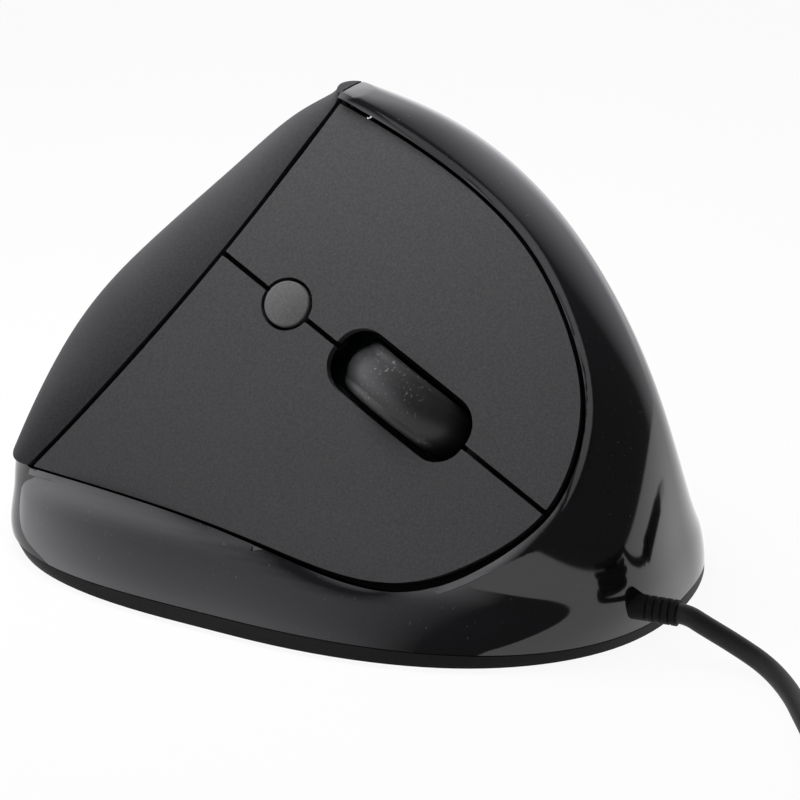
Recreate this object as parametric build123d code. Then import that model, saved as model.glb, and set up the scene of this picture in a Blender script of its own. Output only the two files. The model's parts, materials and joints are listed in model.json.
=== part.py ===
from build123d import *
import math
import os

# Overall size of the mouse without its cord
LENGTH = 118.0
WIDTH = 78.0
HEIGHT = 75.0
HALF_LENGTH = LENGTH / 2
HALF_WIDTH = WIDTH / 2

# Shell walls, gaps and the base
WALL = 2.0
SEAM_GAP = 0.4
FOOT_STAND = 0.8
PLATE_THICKNESS = 2.0
PLATE_TOP = FOOT_STAND + PLATE_THICKNESS
SKIRT_TOP = 14.4
FIT = 0.05
CLEARANCE = 0.3

# Horizontal sections of the glossy hull. Each row holds the height, the centre line's x, the nose's y,
# the heel's y, the thumb side's x and y, and the finger side's x and y, as shares of the overall sizes,
# then the four roundness powers: thumb front, thumb back, finger front, finger back.
HULL_SHARES = [
    (0.000, -0.14, 1.000, -0.975, -0.985, 0.17, 0.99, -0.05, 2.3, 2.3, 2.2, 3.2),
    (0.053, -0.14, 1.000, -0.982, -0.970, 0.17, 0.93, -0.14, 2.3, 2.3, 2.5, 3.8),
    (0.120, -0.13, 0.988, -0.982, -0.880, 0.17, 0.775, -0.20, 2.4, 2.3, 3.2, 4.4),
    (0.200, -0.13, 0.966, -0.979, -0.800, 0.14, 0.683, 0.03, 2.3, 2.3, 3.3, 5.5),
    (0.400, -0.13, 0.902, -0.912, -0.710, 0.08, 0.720, -0.07, 2.05, 2.2, 2.3, 3.0),
    (0.600, -0.23, 0.757, -0.727, -0.730, 0.00, 0.560, -0.07, 1.92, 2.1, 2.2, 2.4),
    (0.773, -0.41, 0.515, -0.521, -0.770, -0.05, 0.150, -0.07, 1.94, 2.1, 2.2, 2.2),
    (0.893, -0.51, 0.252, -0.372, -0.750, -0.10, -0.100, -0.12, 2.1, 2.0, 1.9, 2.0),
    (0.960, -0.53, 0.055, -0.256, -0.660, -0.14, -0.300, -0.15, 1.9, 2.0, 1.8, 2.0),
    (0.995, -0.51, -0.110, -0.216, -0.580, -0.17, -0.360, -0.17, 1.85, 2.0, 1.8, 2.0),
]
# The palm hull shares the thumb side. Its finger side follows the seam, so each row holds the number of
# the hull row at its height, then the finger side's x and y, the heel's y and the finger back power.
PALM_SHARES = [
    (2, 0.713, -0.898, -0.982, 2.3),
    (3, 0.603, -0.841, -0.979, 2.9),
    (4, 0.423, -0.653, -0.912, 2.2),
    (5, 0.179, -0.458, -0.727, 1.95),
    (6, -0.072, -0.325, -0.521, 1.75),
    (7, -0.264, -0.251, -0.372, 1.7),
    (8, -0.400, -0.202, -0.256, 1.6),
    (9, -0.423, -0.190, -0.216, 1.6),
]
POINTS_PER_QUARTER = 4
COSINE_DIGITS = 9

# The button face: the middle of the wheel slot, a point ahead of it and a point above it on the face
FACE_MIDDLE_SHARES = (0.287, 0.224, 0.483)
FACE_AHEAD_SHARES = (0.444, 0.685, 0.336)
FACE_ABOVE_SHARES = (-0.130, 0.436, 0.775)
FACE_CROWN = 220.0
# Outline of the two buttons on the face, as shares of the run ahead and the rise above, from the top
# corner round the front to the bottom corner, and the crest of the seam between these two
BUTTON_SHARES = [
    (-1.38, 1.068), (-0.767, 1.133), (-0.067, 1.093), (0.493, 0.877), (0.867, 0.590), (1.06, 0.25),
    (1.10, -0.067), (0.987, -0.423), (0.72, -0.797), (0.25, -1.033), (-0.50, -1.247), (-1.56, -1.647),
]
SEAM_CREST_SHARES = (-1.343, 0.25)
# Gap round the buttons at each outline point, wider at the front than at the two rear corners
BUTTON_GAPS = [0.6, 0.6, 0.7, 0.8, 1.0, 1.2, 1.4, 1.6, 1.6, 1.0, 0.5, 0.4]
BUTTON_REAR_GAP = 0.5
SPLIT_GAP = 0.9
BUTTON_THICKNESS = 2.0

# Well round the buttons, with the ledge that the chassis lies on
WELL_WALL = 1.6
LEDGE_WIDTH = 3.0
LEDGE_THICKNESS = 2.0
CHASSIS_DEPTH = 3.4
CHASSIS_THICKNESS = 1.4
CHASSIS_INSET = 0.5
LEDGE_DEPTH = CHASSIS_DEPTH + CHASSIS_THICKNESS + FIT

# Button hinges and the bosses over the switches
BUTTON_TRAVEL_DEG = 0.55
HINGE_RUN = -36.3
HINGE_DEPTH = 7.4
HINGE_PIN_R = 0.8
HINGE_EAR_R = 2.0
EAR_WIDTH = 2.4
INDEX_EAR_RISES = (6.0, 22.0)
MIDDLE_EAR_RISES = (-23.0, -8.0)
EAR_ROOM = 1.0
SWITCH_RUN = 17.5
SWITCH_RISE = 11.0
BOSS_R = 1.3
BOSS_GAP = 0.2

# Speed button between the two buttons
SPEED_RUN = -25.4
SPEED_R = 3.9
SPEED_HOLE_R = 4.5
SPEED_PROUD = 0.7
SPEED_DOME = 0.5
SPEED_FLANGE_R = 5.3
SPEED_FLANGE = 0.6
SPEED_STEM_R = 1.4
SPEED_TRAVEL = 0.3

# Wheel with its axle, its carrier over a switch and the encoder at the far end
SLOT_LENGTH = 28.4
SLOT_WIDTH = 11.6
SLOT_CORNER = 5.2
WHEEL_R = 13.0
WHEEL_PROUD = 4.2
WHEEL_DEPTH = WHEEL_R - WHEEL_PROUD
WHEEL_WIDTH = 8.4
WHEEL_ROOM = 0.9
TYRE_THICKNESS = 3.0
TYRE_CROWN = 1.1
TYRE_LIP = 0.8
HUB_WEB = 2.6
HUB_RIM = 1.6
HUB_BOSS_R = 2.6
SPOKE_COUNT = 5
SPOKE_HOLE_R = 1.6
AXLE_R = 1.2
AXLE_FAR = 11.2
AXLE_NEAR = 11.6
AXLE_TILT_ROOM = 0.1
CARRIER_THICKNESS = 2.6
CARRIER_WIDTH = 6.0
CARRIER_REACH = 2.5
CARRIER_ARM = 5.4
CARRIER_ARM_THICKNESS = 1.4
ENCODER_SIZE = (9.0, 4.4, 6.4)

# Boards below the face
BOARD_DEPTH = 12.0
BOARD_THICKNESS = 1.2
BOARD_RUNS = (-30.0, 27.0)
BOARD_RISES = (-19.0, 16.0)
STANDOFF_PLACES = [(-27.0, 13.0), (-27.0, -15.0), (24.0, 0.0)]
STANDOFF_R = 2.0
MICRO_SWITCH_SIZE = (12.8, 5.8, 6.5)
MICRO_PLUNGER_SIZE = (2.6, 1.3)
TACT_SIZE = (6.0, 6.0, 3.2)
TACT_PLUNGER_R = 1.6
PLUNGER_HEIGHT = 0.9
PLUNGER_HOLD = 0.4
PLUNGER_SOCKET = 1.3

# Thumb side
THUMB_HEIGHT = 46.5
THUMB_MIDDLE = 6.0
THUMB_TALL = 8.0
THUMB_LENGTH = 18.0
THUMB_SPACE = 1.0
THUMB_CORNER = 2.6
THUMB_GAP = 0.35
THUMB_PROUD = 0.6
THUMB_FLANGE_WIDTH = 0.9
THUMB_FLANGE = 0.9
THUMB_FLANGE_DEPTH = 3.2
THUMB_BOSS_R = 1.5
THUMB_TRAVEL = 0.3
THUMB_BOARD_X = -18.4
THUMB_BOARD_TALL = 9.0
THUMB_POST_R = 1.8

# Bottom plate and what stands on it
FOOT_THICKNESS = 1.0
FOOT_LENGTH = 26.0
FOOT_WIDTH = 7.0
FOOT_SHARES = {
    "front_foot": (-0.10, 0.80),
    "heel_foot": (-0.10, -0.70),
    "finger_foot": (0.66, -0.20),
    "thumb_foot": (-0.68, 0.05),
}
ACROSS_FEET = ("front_foot", "heel_foot")
SCREW_R = 1.1
SCREW_HEAD_R = 2.1
SCREW_HEAD = 1.3
SCREW_LENGTH = 8.0
SCREW_POST_R = 2.8
CASE_SCREW_SHARES = [(0.05, 0.66), (-0.62, 0.55), (-0.55, -0.55)]
PALM_SCREW_SHARES = [(0.34, -0.80), (-0.22, -0.84)]
MAIN_BOARD_SIZE = (34.0, 44.0, 1.2)
MAIN_BOARD_MIDDLE = (-6.0, -3.0)
MAIN_BOARD_LIFT = 4.0
BOARD_SCREW_R = 0.8
BOARD_SCREW_HEAD_R = 1.5
BOARD_SCREW_HEAD = 0.9
BOARD_SCREW_LENGTH = 3.0
BOARD_SCREW_MARGIN = 3.2
PLATE_POST_R = 2.2
LENS_SIZE = (16.0, 12.0)
LENS_STEP = 1.0
WINDOW_SIZE = (8.0, 6.0)
CHIP_SIZE = (9.0, 12.0, 2.4)
CONTROLLER_SIZE = (8.0, 10.0, 1.6)
CONTROLLER_PLACE = (-15.0, 8.0)
CONNECTOR_SIZE = (9.0, 5.0, 4.5)
CONNECTOR_PLACE = (0.0, 16.4)
LED_R = 2.5
LED_LENGTH = 7.0
RIBBON_WIDTH = 8.0
RIBBON_THICKNESS = 0.8
RIBBON_FOOT_X = -11.5
RIBBON_BEND = 3.0
RIBBON_RUN = -26.0

# Cord and its boot
CORD_DIAMETER = 3.4
CORD_R = CORD_DIAMETER / 2
CORD_EXIT = (11.5, 56.2, 7.6)
CORD_AIM_SHARES = (-0.04, 1.0, 0.05)
BOOT_R = 2.15
BOOT_LENGTH = 7.0
BOOT_FLANGE_R = 3.4
BOOT_FLANGE = 1.6
BOOT_NECK = 4.8
BOOT_RINGS = 4
BOOT_RING_DEPTH = 0.3
BOOT_RING_WIDTH = 0.5
BOOT_RING_STEP = 1.3
BEND_SHARE = 0.45
# Cord from the boot to the coil, and from the coil to the plug
LEAD_POINTS = [
    (11.0, 67.4, 6.8), (10.9, 73.0, 4.6), (12.0, 79.0, 2.7), (16.6, 84.6, 1.9), (23.6, 89.6, 1.8),
    (32.0, 95.4, 1.9), (40.2, 103.4, 2.3),
]
TAIL_POINTS = [(-0.6, 123.4, 13.4), (-5.4, 114.8, 9.2), (-13.4, 109.4, 5.4), (-22.0, 108.0, 3.9)]

# Coil of the length that is put away
COIL_MIDDLE = (26.0, 126.0)
COIL_TURN_DEG = -20.0
COIL_OUTER_R = 24.0
COIL_STEP = 4.55
COIL_HALF_TURNS = 5
COIL_LAYERS = 4
COIL_SIDES = 6
TIE_THICKNESS = 0.8
TIE_WIDTH = 6.0
TIE_ROOM = 0.5
COIL_FLOOR = TIE_THICKNESS + TIE_ROOM

# Plug
PLUG_BODY_SIZE = (26.0, 15.0, 7.4)
PLUG_CORNER = 2.4
PLUG_NECK_R = 2.6
PLUG_NECK = 6.0
PLUG_SHELL_SIZE = (18.0, 12.0, 4.5)
PLUG_SHELL_WALL = 0.4
PLUG_SHELL_SUNK = 6.0
PLUG_WINDOW = 2.4
PLUG_TONGUE = 1.9
PLUG_HEIGHT = 3.7


def share_place(shares):
    """A point given as shares of the half width, the half length and the height."""
    return Vector(shares[0] * HALF_WIDTH, shares[1] * HALF_LENGTH, shares[2] * HEIGHT)


FACE_MIDDLE = share_place(FACE_MIDDLE_SHARES)
RUN_WAY = share_place(FACE_AHEAD_SHARES) - FACE_MIDDLE
RISE_WAY = share_place(FACE_ABOVE_SHARES) - FACE_MIDDLE
FACE = Plane(origin=FACE_MIDDLE, x_dir=RUN_WAY, z_dir=RUN_WAY.cross(RISE_WAY))


def face_place(run, rise, depth=0.0):
    """A place on the face plane's own axes, at a depth below it."""
    return FACE * Pos(run, rise, -depth)


def section(row, inset):
    """A horizontal section of the hull: four superellipse quarters, each with its own reach and power."""
    height, middle_x, nose_y, heel_y, thumb_x, thumb_y, finger_x, finger_y, *powers = row
    points = []
    for number in range(4 * POINTS_PER_QUARTER):
        turn = number * math.pi / 2 / POINTS_PER_QUARTER
        across = round(math.cos(turn), COSINE_DIGITS)
        along = round(math.sin(turn), COSINE_DIGITS)
        finger = across >= 0
        front = along >= 0
        power = powers[2 * finger + (not front)]
        side_y = (finger_y if finger else thumb_y) * HALF_LENGTH
        reach_x = (finger_x - middle_x if finger else middle_x - thumb_x) * HALF_WIDTH - inset
        reach_y = (nose_y * HALF_LENGTH - side_y if front else side_y - heel_y * HALF_LENGTH) - inset
        x = middle_x * HALF_WIDTH + math.copysign(reach_x * abs(across) ** (2 / power), across)
        y = side_y + math.copysign(reach_y * abs(along) ** (2 / power), along)
        points.append((x, y, height * HEIGHT))
    return make_face(Spline(*points, periodic=True))


def palm_rows():
    """The palm hull's rows: the hull's own, with another finger side and heel."""
    rows = []
    for number, finger_x, finger_y, heel_y, power in PALM_SHARES:
        row = list(HULL_SHARES[number])
        row[3] = heel_y
        row[6] = finger_x
        row[7] = finger_y
        row[11] = power
        rows.append(tuple(row))
    return rows


def above(solid, height):
    return split(solid, bisect_by=Plane.XY.offset(height), keep=Keep.TOP)


def below(solid, height):
    return split(solid, bisect_by=Plane.XY.offset(height), keep=Keep.BOTTOM)


def crowned(depth):
    """Everything below the crowned face at this depth."""
    return face_place(0, 0, FACE_CROWN) * Rot(0, 90, 0) * Cylinder(FACE_CROWN - depth, 2 * LENGTH)


def seam_arc(rear=0.0):
    """The seam behind the buttons, through its two corners and its crest."""
    corners = [BUTTON_SHARES[-1], SEAM_CREST_SHARES, BUTTON_SHARES[0]]
    points = [(run * RUN_WAY.length + rear, rise * RISE_WAY.length) for run, rise in corners]
    return ThreePointArc(*points)


def behind_seam(gap=0.0):
    """Everything behind the seam, as a cylinder square to the face."""
    arc = seam_arc()
    middle = arc.arc_center
    return face_place(middle.X, middle.Y) * Cylinder(arc.radius - gap, 2 * LENGTH)


def outline(insets, rear):
    """The buttons' outline on the face, drawn in by an inset at each point and moved ahead at the seam."""
    points = [Vector(run * RUN_WAY.length, rise * RISE_WAY.length) for run, rise in BUTTON_SHARES]
    moved = []
    for number, point in enumerate(points):
        way = points[min(number + 1, len(points) - 1)] - points[max(number - 1, 0)]
        moved.append(point + Vector(way.Y, -way.X).normalized() * insets[number])
    for corner in (0, -1):
        moved[corner] += Vector(rear, 0)
    crest_run, crest_rise = SEAM_CREST_SHARES
    crest = (crest_run * RUN_WAY.length + rear, crest_rise * RISE_WAY.length)
    return make_face([Spline(*moved), ThreePointArc(moved[-1], crest, moved[0])])


def even_outline(inset, rear):
    return outline([inset] * len(BUTTON_SHARES), rear)


def prism(sketch, top, bottom):
    """A sketch on the face, extruded square to it between two depths."""
    return extrude(face_place(0, 0, bottom) * sketch, amount=bottom - top)


def post(place, radius, bottom, top):
    """An upright cylinder."""
    return Pos(place[0], place[1], bottom) * Cylinder(
        radius, top - bottom, align=(Align.CENTER, Align.CENTER, Align.MIN)
    )


def block(place, size):
    """A box that stands on its place."""
    return Pos(*place) * Box(*size, align=(Align.CENTER, Align.CENTER, Align.MIN))


def screw_places(shares):
    return [(x * HALF_WIDTH, y * HALF_LENGTH) for x, y in shares]


def post_web(place, bottom, top):
    """A rib from a screw post out to the wall."""
    angle = math.degrees(math.atan2(place[1], place[0]))
    rib = Box(HALF_LENGTH, WALL, top - bottom, align=(Align.MIN, Align.CENTER, Align.MIN))
    return Pos(place[0], place[1], bottom) * Rot(0, 0, angle) * rib


def thumb_places():
    """The two thumb buttons' middles, back and forward."""
    step = (THUMB_LENGTH + THUMB_SPACE) / 2
    return [THUMB_MIDDLE - step, THUMB_MIDDLE + step]


def thumb_prism(middle_y, grown, taller=0.0):
    """A rounded bar along X that cuts a thumb button or its opening."""
    tall = THUMB_TALL + 2 * grown + 2 * taller
    shape = RectangleRounded(THUMB_LENGTH + 2 * grown, tall, THUMB_CORNER + grown)
    plane = Plane(origin=(0, middle_y, THUMB_HEIGHT), x_dir=(0, 1, 0), z_dir=(-1, 0, 0))
    return extrude(plane * shape, amount=WIDTH)


def thumb_post_places():
    reach = THUMB_LENGTH + THUMB_SPACE / 2 + THUMB_FLANGE_WIDTH + THUMB_GAP + THUMB_POST_R
    return [THUMB_MIDDLE - reach, THUMB_MIDDLE + reach]


def thumb_rod(middle_y, radius, start_x, end_x):
    """A cylinder along X at the thumb buttons' height."""
    rod = Cylinder(radius, end_x - start_x, align=(Align.CENTER, Align.CENTER, Align.MIN))
    return Pos(start_x, middle_y, THUMB_HEIGHT) * Rot(0, 90, 0) * rod


def cord_aim():
    return Vector(*CORD_AIM_SHARES).normalized()


def along_cord(distance):
    """A place on the cord's axis at the boot, its Z along the cord."""
    plane = Plane(origin=Vector(*CORD_EXIT) + cord_aim() * distance, z_dir=cord_aim())
    return plane.location


def rod_along_cord(radius, start, end):
    return along_cord(start) * Cylinder(radius, end - start, align=(Align.CENTER, Align.CENTER, Align.MIN))


def opening_parts():
    """The well's solid ring with its ledge, and the space inside it above the ledge."""
    ring = prism(even_outline(-WELL_WALL, -LEDGE_WIDTH), -HALF_WIDTH, HALF_WIDTH)
    ring -= crowned(LEDGE_DEPTH + LEDGE_THICKNESS)
    ring -= prism(even_outline(LEDGE_WIDTH, -LEDGE_WIDTH), -HALF_WIDTH, HALF_WIDTH)
    opening = prism(even_outline(0, 0), -HALF_WIDTH, HALF_WIDTH) - crowned(LEDGE_DEPTH)
    return ring, opening


def glossy_shell():
    """The shell in front of the seam and the skirt all round, with its well, ledge, posts and openings."""
    hull = above(loft([section(row, 0) for row in HULL_SHARES]), PLATE_TOP)
    room = loft([section(row, WALL) for row in HULL_SHARES[:-1]])
    ledge_bottom = SKIRT_TOP - WALL
    post_top = PLATE_TOP + SCREW_LENGTH + WALL
    ring, opening = opening_parts()
    room -= above(behind_seam(), ledge_bottom)
    room -= ring
    for place in screw_places(CASE_SCREW_SHARES):
        room -= post(place, SCREW_POST_R, PLATE_TOP, post_top) + post_web(place, PLATE_TOP, post_top)
    for middle_y in thumb_post_places():
        room -= thumb_rod(middle_y, THUMB_POST_R, -HALF_WIDTH, THUMB_BOARD_X)
    shell = hull - above(behind_seam(), SKIRT_TOP)
    shell -= opening
    shell -= room
    palm_floor = extrude(Pos(0, 0, -2 * WALL) * section(palm_rows()[1], 2 * WALL), amount=2 * WALL)
    shell -= palm_floor & behind_seam(-WALL)
    for middle_y in thumb_places():
        shell -= thumb_prism(middle_y, THUMB_GAP)
    for place in screw_places(CASE_SCREW_SHARES):
        shell -= post(place, SCREW_R + FIT, PLATE_TOP, post_top - WALL / 2)
    return shell - rod_along_cord(BOOT_R + FIT, -BOOT_LENGTH, BOOT_LENGTH)


def palm_cover():
    """The matt cover behind the seam, on the skirt, with two screw posts down to the base."""
    palm_hull = above(loft([section(row, 0) for row in palm_rows()]), SKIRT_TOP)
    palm_room = loft([section(row, WALL) for row in palm_rows()[:-1]])
    places = screw_places(PALM_SCREW_SHARES)
    post_top = SKIRT_TOP + SCREW_LENGTH
    for place in places:
        palm_room -= post(place, SCREW_POST_R, PLATE_TOP, post_top) + post_web(place, SKIRT_TOP, post_top)
    cover = (palm_hull & behind_seam(SEAM_GAP)) - palm_room
    cover += [post(place, SCREW_POST_R, PLATE_TOP, SKIRT_TOP) for place in places]
    for place in places:
        cover -= post(place, SCREW_R + FIT, PLATE_TOP, PLATE_TOP + SCREW_LENGTH)
    return cover


def button_outline(insets, rear):
    """The buttons' outline with the split, the wheel's slot and the speed button's hole taken out."""
    shape = outline(insets, rear)
    shape -= Rectangle(2 * LENGTH, SPLIT_GAP)
    shape -= RectangleRounded(SLOT_LENGTH, SLOT_WIDTH, SLOT_CORNER)
    return shape - Pos(SPEED_RUN, 0) * Circle(SPEED_HOLE_R)


def hinge_ear(rise, depth_top):
    """A lug round the hinge pin that hangs from a depth, with its bore left for later."""
    eye = face_place(HINGE_RUN, rise, HINGE_DEPTH) * Rot(90, 0, 0) * Cylinder(HINGE_EAR_R, EAR_WIDTH)
    tall = HINGE_DEPTH - depth_top
    stalk = Box(2 * HINGE_EAR_R, EAR_WIDTH, tall, align=(Align.CENTER, Align.CENTER, Align.MIN))
    return eye + face_place(HINGE_RUN, rise, HINGE_DEPTH) * stalk


def hinge_bore(ear_rises, radius):
    """The hinge pin's cylinder, long enough for both ears."""
    low, high = ear_rises
    length = high - low + EAR_WIDTH + 2 * CLEARANCE
    return face_place(HINGE_RUN, (low + high) / 2, HINGE_DEPTH) * Rot(90, 0, 0) * Cylinder(radius, length)


def lug_rises(ear_rises):
    """The chassis lugs stand inside the two button ears."""
    low, high = ear_rises
    step = EAR_WIDTH + CLEARANCE
    return [low + step, high - step]


def micro_top():
    return BOARD_DEPTH - MICRO_SWITCH_SIZE[2]


def boss(side):
    """The button's boss over its switch plunger."""
    bottom = micro_top() - PLUNGER_HEIGHT - BOSS_GAP
    return prism(Pos(SWITCH_RUN, side * SWITCH_RISE) * Circle(BOSS_R), BUTTON_THICKNESS / 2, bottom)


def button(side, ear_rises):
    """One of the two button panels: a crowned plate with two hinge ears and a boss."""
    half = Pos(0, side * LENGTH / 2) * Rectangle(2 * LENGTH, LENGTH)
    panel = prism(button_outline(BUTTON_GAPS, BUTTON_REAR_GAP) & half, -HALF_WIDTH, HALF_WIDTH)
    panel = panel & crowned(0) - crowned(BUTTON_THICKNESS)
    ears = Part() + [hinge_ear(rise, 0) for rise in ear_rises]
    ears = ears & crowned(BUTTON_THICKNESS / 2)
    piece = panel + ears + boss(side)
    return piece - hinge_bore(ear_rises, HINGE_PIN_R + FIT)


def speed_button():
    """A domed cap with a flange under the panels and a stem over its switch."""
    stem_bottom = tact_top() - PLUNGER_HEIGHT - BOSS_GAP
    flange_top = BUTTON_THICKNESS + CLEARANCE
    flange_bottom = flange_top + SPEED_FLANGE
    dome_r = (SPEED_R ** 2 + SPEED_DOME ** 2) / (2 * SPEED_DOME)
    align = (Align.CENTER, Align.CENTER, Align.MIN)
    cap = Pos(0, 0, -flange_top) * Cylinder(SPEED_R, flange_top + SPEED_PROUD, align=align)
    cap = cap & Pos(0, 0, SPEED_PROUD - dome_r) * Sphere(dome_r)
    flange = Pos(0, 0, -flange_bottom) * Cylinder(SPEED_FLANGE_R, SPEED_FLANGE, align=align)
    stem = Pos(0, 0, -stem_bottom) * Cylinder(SPEED_STEM_R, stem_bottom - flange_top, align=align)
    return face_place(SPEED_RUN, 0) * (cap + flange + stem)


def tact_top():
    return BOARD_DEPTH - TACT_SIZE[2]


def tact_switch(place):
    """A small square switch with a round socket, standing on its place's Z."""
    body = Box(*TACT_SIZE, align=(Align.CENTER, Align.CENTER, Align.MIN))
    socket = Pos(0, 0, TACT_SIZE[2] - PLUNGER_SOCKET) * Cylinder(
        TACT_PLUNGER_R + FIT, PLUNGER_SOCKET, align=(Align.CENTER, Align.CENTER, Align.MIN)
    )
    return place * (body - socket)


def tact_plunger(place):
    tall = PLUNGER_HEIGHT + PLUNGER_HOLD
    pin = Cylinder(TACT_PLUNGER_R, tall, align=(Align.CENTER, Align.CENTER, Align.MIN))
    return place * Pos(0, 0, TACT_SIZE[2] - PLUNGER_HOLD) * pin


def micro_place(side):
    return face_place(SWITCH_RUN, side * SWITCH_RISE, BOARD_DEPTH)


def micro_switch(side):
    """A button switch: a box with a slot for its plunger."""
    long, wide, tall = MICRO_SWITCH_SIZE
    plunger_long, plunger_wide = MICRO_PLUNGER_SIZE
    body = Box(long, wide, tall, align=(Align.CENTER, Align.CENTER, Align.MIN))
    socket = Box(
        plunger_long + 2 * FIT,
        plunger_wide + 2 * FIT,
        PLUNGER_SOCKET,
        align=(Align.CENTER, Align.CENTER, Align.MIN),
    )
    return micro_place(side) * (body - Pos(0, 0, tall - PLUNGER_SOCKET) * socket)


def micro_plunger(side):
    tall = PLUNGER_HEIGHT + PLUNGER_HOLD
    pin = Box(*MICRO_PLUNGER_SIZE, tall, align=(Align.CENTER, Align.CENTER, Align.MIN))
    return micro_place(side) * Pos(0, 0, MICRO_SWITCH_SIZE[2] - PLUNGER_HOLD) * pin


def wheel_axis():
    """The wheel's own place: its Z along the axle, towards the encoder."""
    return face_place(0, 0, WHEEL_DEPTH) * Rot(-90, 0, 0)


def wheel_tyre():
    """A smooth crowned rubber ring."""
    half = WHEEL_WIDTH / 2
    inner = WHEEL_R - TYRE_THICKNESS
    with BuildPart() as ring:
        with BuildSketch(Plane.XZ):
            with BuildLine():
                Polyline(
                    (WHEEL_R - TYRE_CROWN, -half + TYRE_LIP),
                    (WHEEL_R - TYRE_CROWN - TYRE_LIP, -half),
                    (inner, -half),
                    (inner, half),
                    (WHEEL_R - TYRE_CROWN - TYRE_LIP, half),
                    (WHEEL_R - TYRE_CROWN, half - TYRE_LIP),
                )
                ThreePointArc(
                    (WHEEL_R - TYRE_CROWN, half - TYRE_LIP),
                    (WHEEL_R, 0),
                    (WHEEL_R - TYRE_CROWN, -half + TYRE_LIP),
                )
            make_face()
        revolve(axis=Axis.Z)
    return wheel_axis() * ring.part


def wheel_hub():
    """A rim and a pierced web on a boss, with the axle through them."""
    outer = WHEEL_R - TYRE_THICKNESS
    rim = Cylinder(outer, WHEEL_WIDTH) - Cylinder(outer - HUB_RIM, WHEEL_WIDTH)
    web = Cylinder(outer - HUB_RIM / 2, HUB_WEB)
    hole_reach = (HUB_BOSS_R + outer - HUB_RIM) / 2
    web -= PolarLocations(hole_reach, SPOKE_COUNT) * Cylinder(SPOKE_HOLE_R, HUB_WEB)
    axle = Pos(0, 0, -AXLE_NEAR) * Cylinder(
        AXLE_R, AXLE_NEAR + AXLE_FAR, align=(Align.CENTER, Align.CENTER, Align.MIN)
    )
    return wheel_axis() * (rim + web + Cylinder(HUB_BOSS_R, WHEEL_WIDTH) + axle)


def carrier_rise():
    """Where the carrier's bearing ends on the side away from the wheel."""
    return -AXLE_NEAR - CLEARANCE


def wheel_carrier():
    """The bearing of the axle's near end, with an arm that reaches over the wheel's switch."""
    align = (Align.CENTER, Align.MIN, Align.CENTER)
    bearing = Box(CARRIER_WIDTH, CARRIER_THICKNESS, 2 * CARRIER_REACH, align=align)
    arm = Box(CARRIER_WIDTH, CARRIER_ARM + CARRIER_THICKNESS, CARRIER_ARM_THICKNESS, align=align)
    arm = Pos(0, -CARRIER_ARM, CARRIER_REACH - CARRIER_ARM_THICKNESS / 2) * arm
    piece = face_place(0, carrier_rise(), WHEEL_DEPTH) * (bearing + arm)
    return piece - wheel_axis() * Cylinder(AXLE_R + FIT, 2 * AXLE_NEAR)


def wheel_switch_place():
    return face_place(0, carrier_rise() - CLEARANCE - TACT_SIZE[1] / 2, BOARD_DEPTH)


def encoder():
    """The block on the board that the axle's far end turns in."""
    body = Box(*ENCODER_SIZE, align=(Align.CENTER, Align.MIN, Align.MIN))
    body = face_place(0, AXLE_FAR - ENCODER_SIZE[1] / 2, BOARD_DEPTH) * body
    return body - wheel_axis() * Cylinder(AXLE_R + AXLE_TILT_ROOM, 2 * AXLE_FAR + 2 * CLEARANCE)


def chassis():
    """A crowned plate in the well under the buttons, with lugs for the hinge pins and board standoffs."""
    shape = even_outline(CHASSIS_INSET, CHASSIS_INSET)
    shape -= RectangleRounded(2 * (WHEEL_R + WHEEL_ROOM), WHEEL_WIDTH + 2 * WHEEL_ROOM, WHEEL_ROOM)
    shape -= Pos(SPEED_RUN, 0) * Circle(SPEED_STEM_R + 2 * CLEARANCE)
    for side in (1, -1):
        shape -= Pos(SWITCH_RUN, side * SWITCH_RISE) * Circle(BOSS_R + 2 * CLEARANCE)
    for rise in INDEX_EAR_RISES + MIDDLE_EAR_RISES:
        shape -= Pos(HINGE_RUN, rise) * Rectangle(2 * HINGE_EAR_R + 2 * EAR_ROOM, EAR_WIDTH + 2 * CLEARANCE)
    layer = crowned(CHASSIS_DEPTH) - crowned(CHASSIS_DEPTH + CHASSIS_THICKNESS)
    plate = prism(shape, -HALF_WIDTH, HALF_WIDTH) & layer
    hanging = [face_place(run, rise, BOARD_DEPTH) * Cylinder(STANDOFF_R, BOARD_DEPTH, align=(
        Align.CENTER, Align.CENTER, Align.MIN)) for run, rise in STANDOFF_PLACES]
    for ear_rises in (INDEX_EAR_RISES, MIDDLE_EAR_RISES):
        hanging += [hinge_ear(rise, 0) for rise in lug_rises(ear_rises)]
    piece = plate + ((Part() + hanging) & crowned(CHASSIS_DEPTH + CHASSIS_THICKNESS / 2))
    for ear_rises in (INDEX_EAR_RISES, MIDDLE_EAR_RISES):
        piece -= hinge_bore(ear_rises, HINGE_PIN_R + FIT)
    for run, rise in STANDOFF_PLACES:
        piece -= face_place(run, rise, BOARD_DEPTH) * Cylinder(BOARD_SCREW_R + FIT, 2 * BOARD_SCREW_LENGTH)
    return piece


def button_board():
    """The flat board under the chassis, cut out for the wheel."""
    runs, rises = BOARD_RUNS, BOARD_RISES
    middle = Pos((runs[0] + runs[1]) / 2, (rises[0] + rises[1]) / 2)
    shape = middle * Rectangle(runs[1] - runs[0], rises[1] - rises[0])
    shape -= RectangleRounded(2 * (WHEEL_R + WHEEL_ROOM), WHEEL_WIDTH + 2 * WHEEL_ROOM, WHEEL_ROOM)
    for run, rise in STANDOFF_PLACES:
        shape -= Pos(run, rise) * Circle(BOARD_SCREW_R + FIT)
    return prism(shape, BOARD_DEPTH, BOARD_DEPTH + BOARD_THICKNESS)


def thumb_surface(inset):
    """The hull moved along X, for a layer of the thumb side."""
    return Pos(inset, 0, 0) * loft([section(row, 0) for row in HULL_SHARES])


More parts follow.
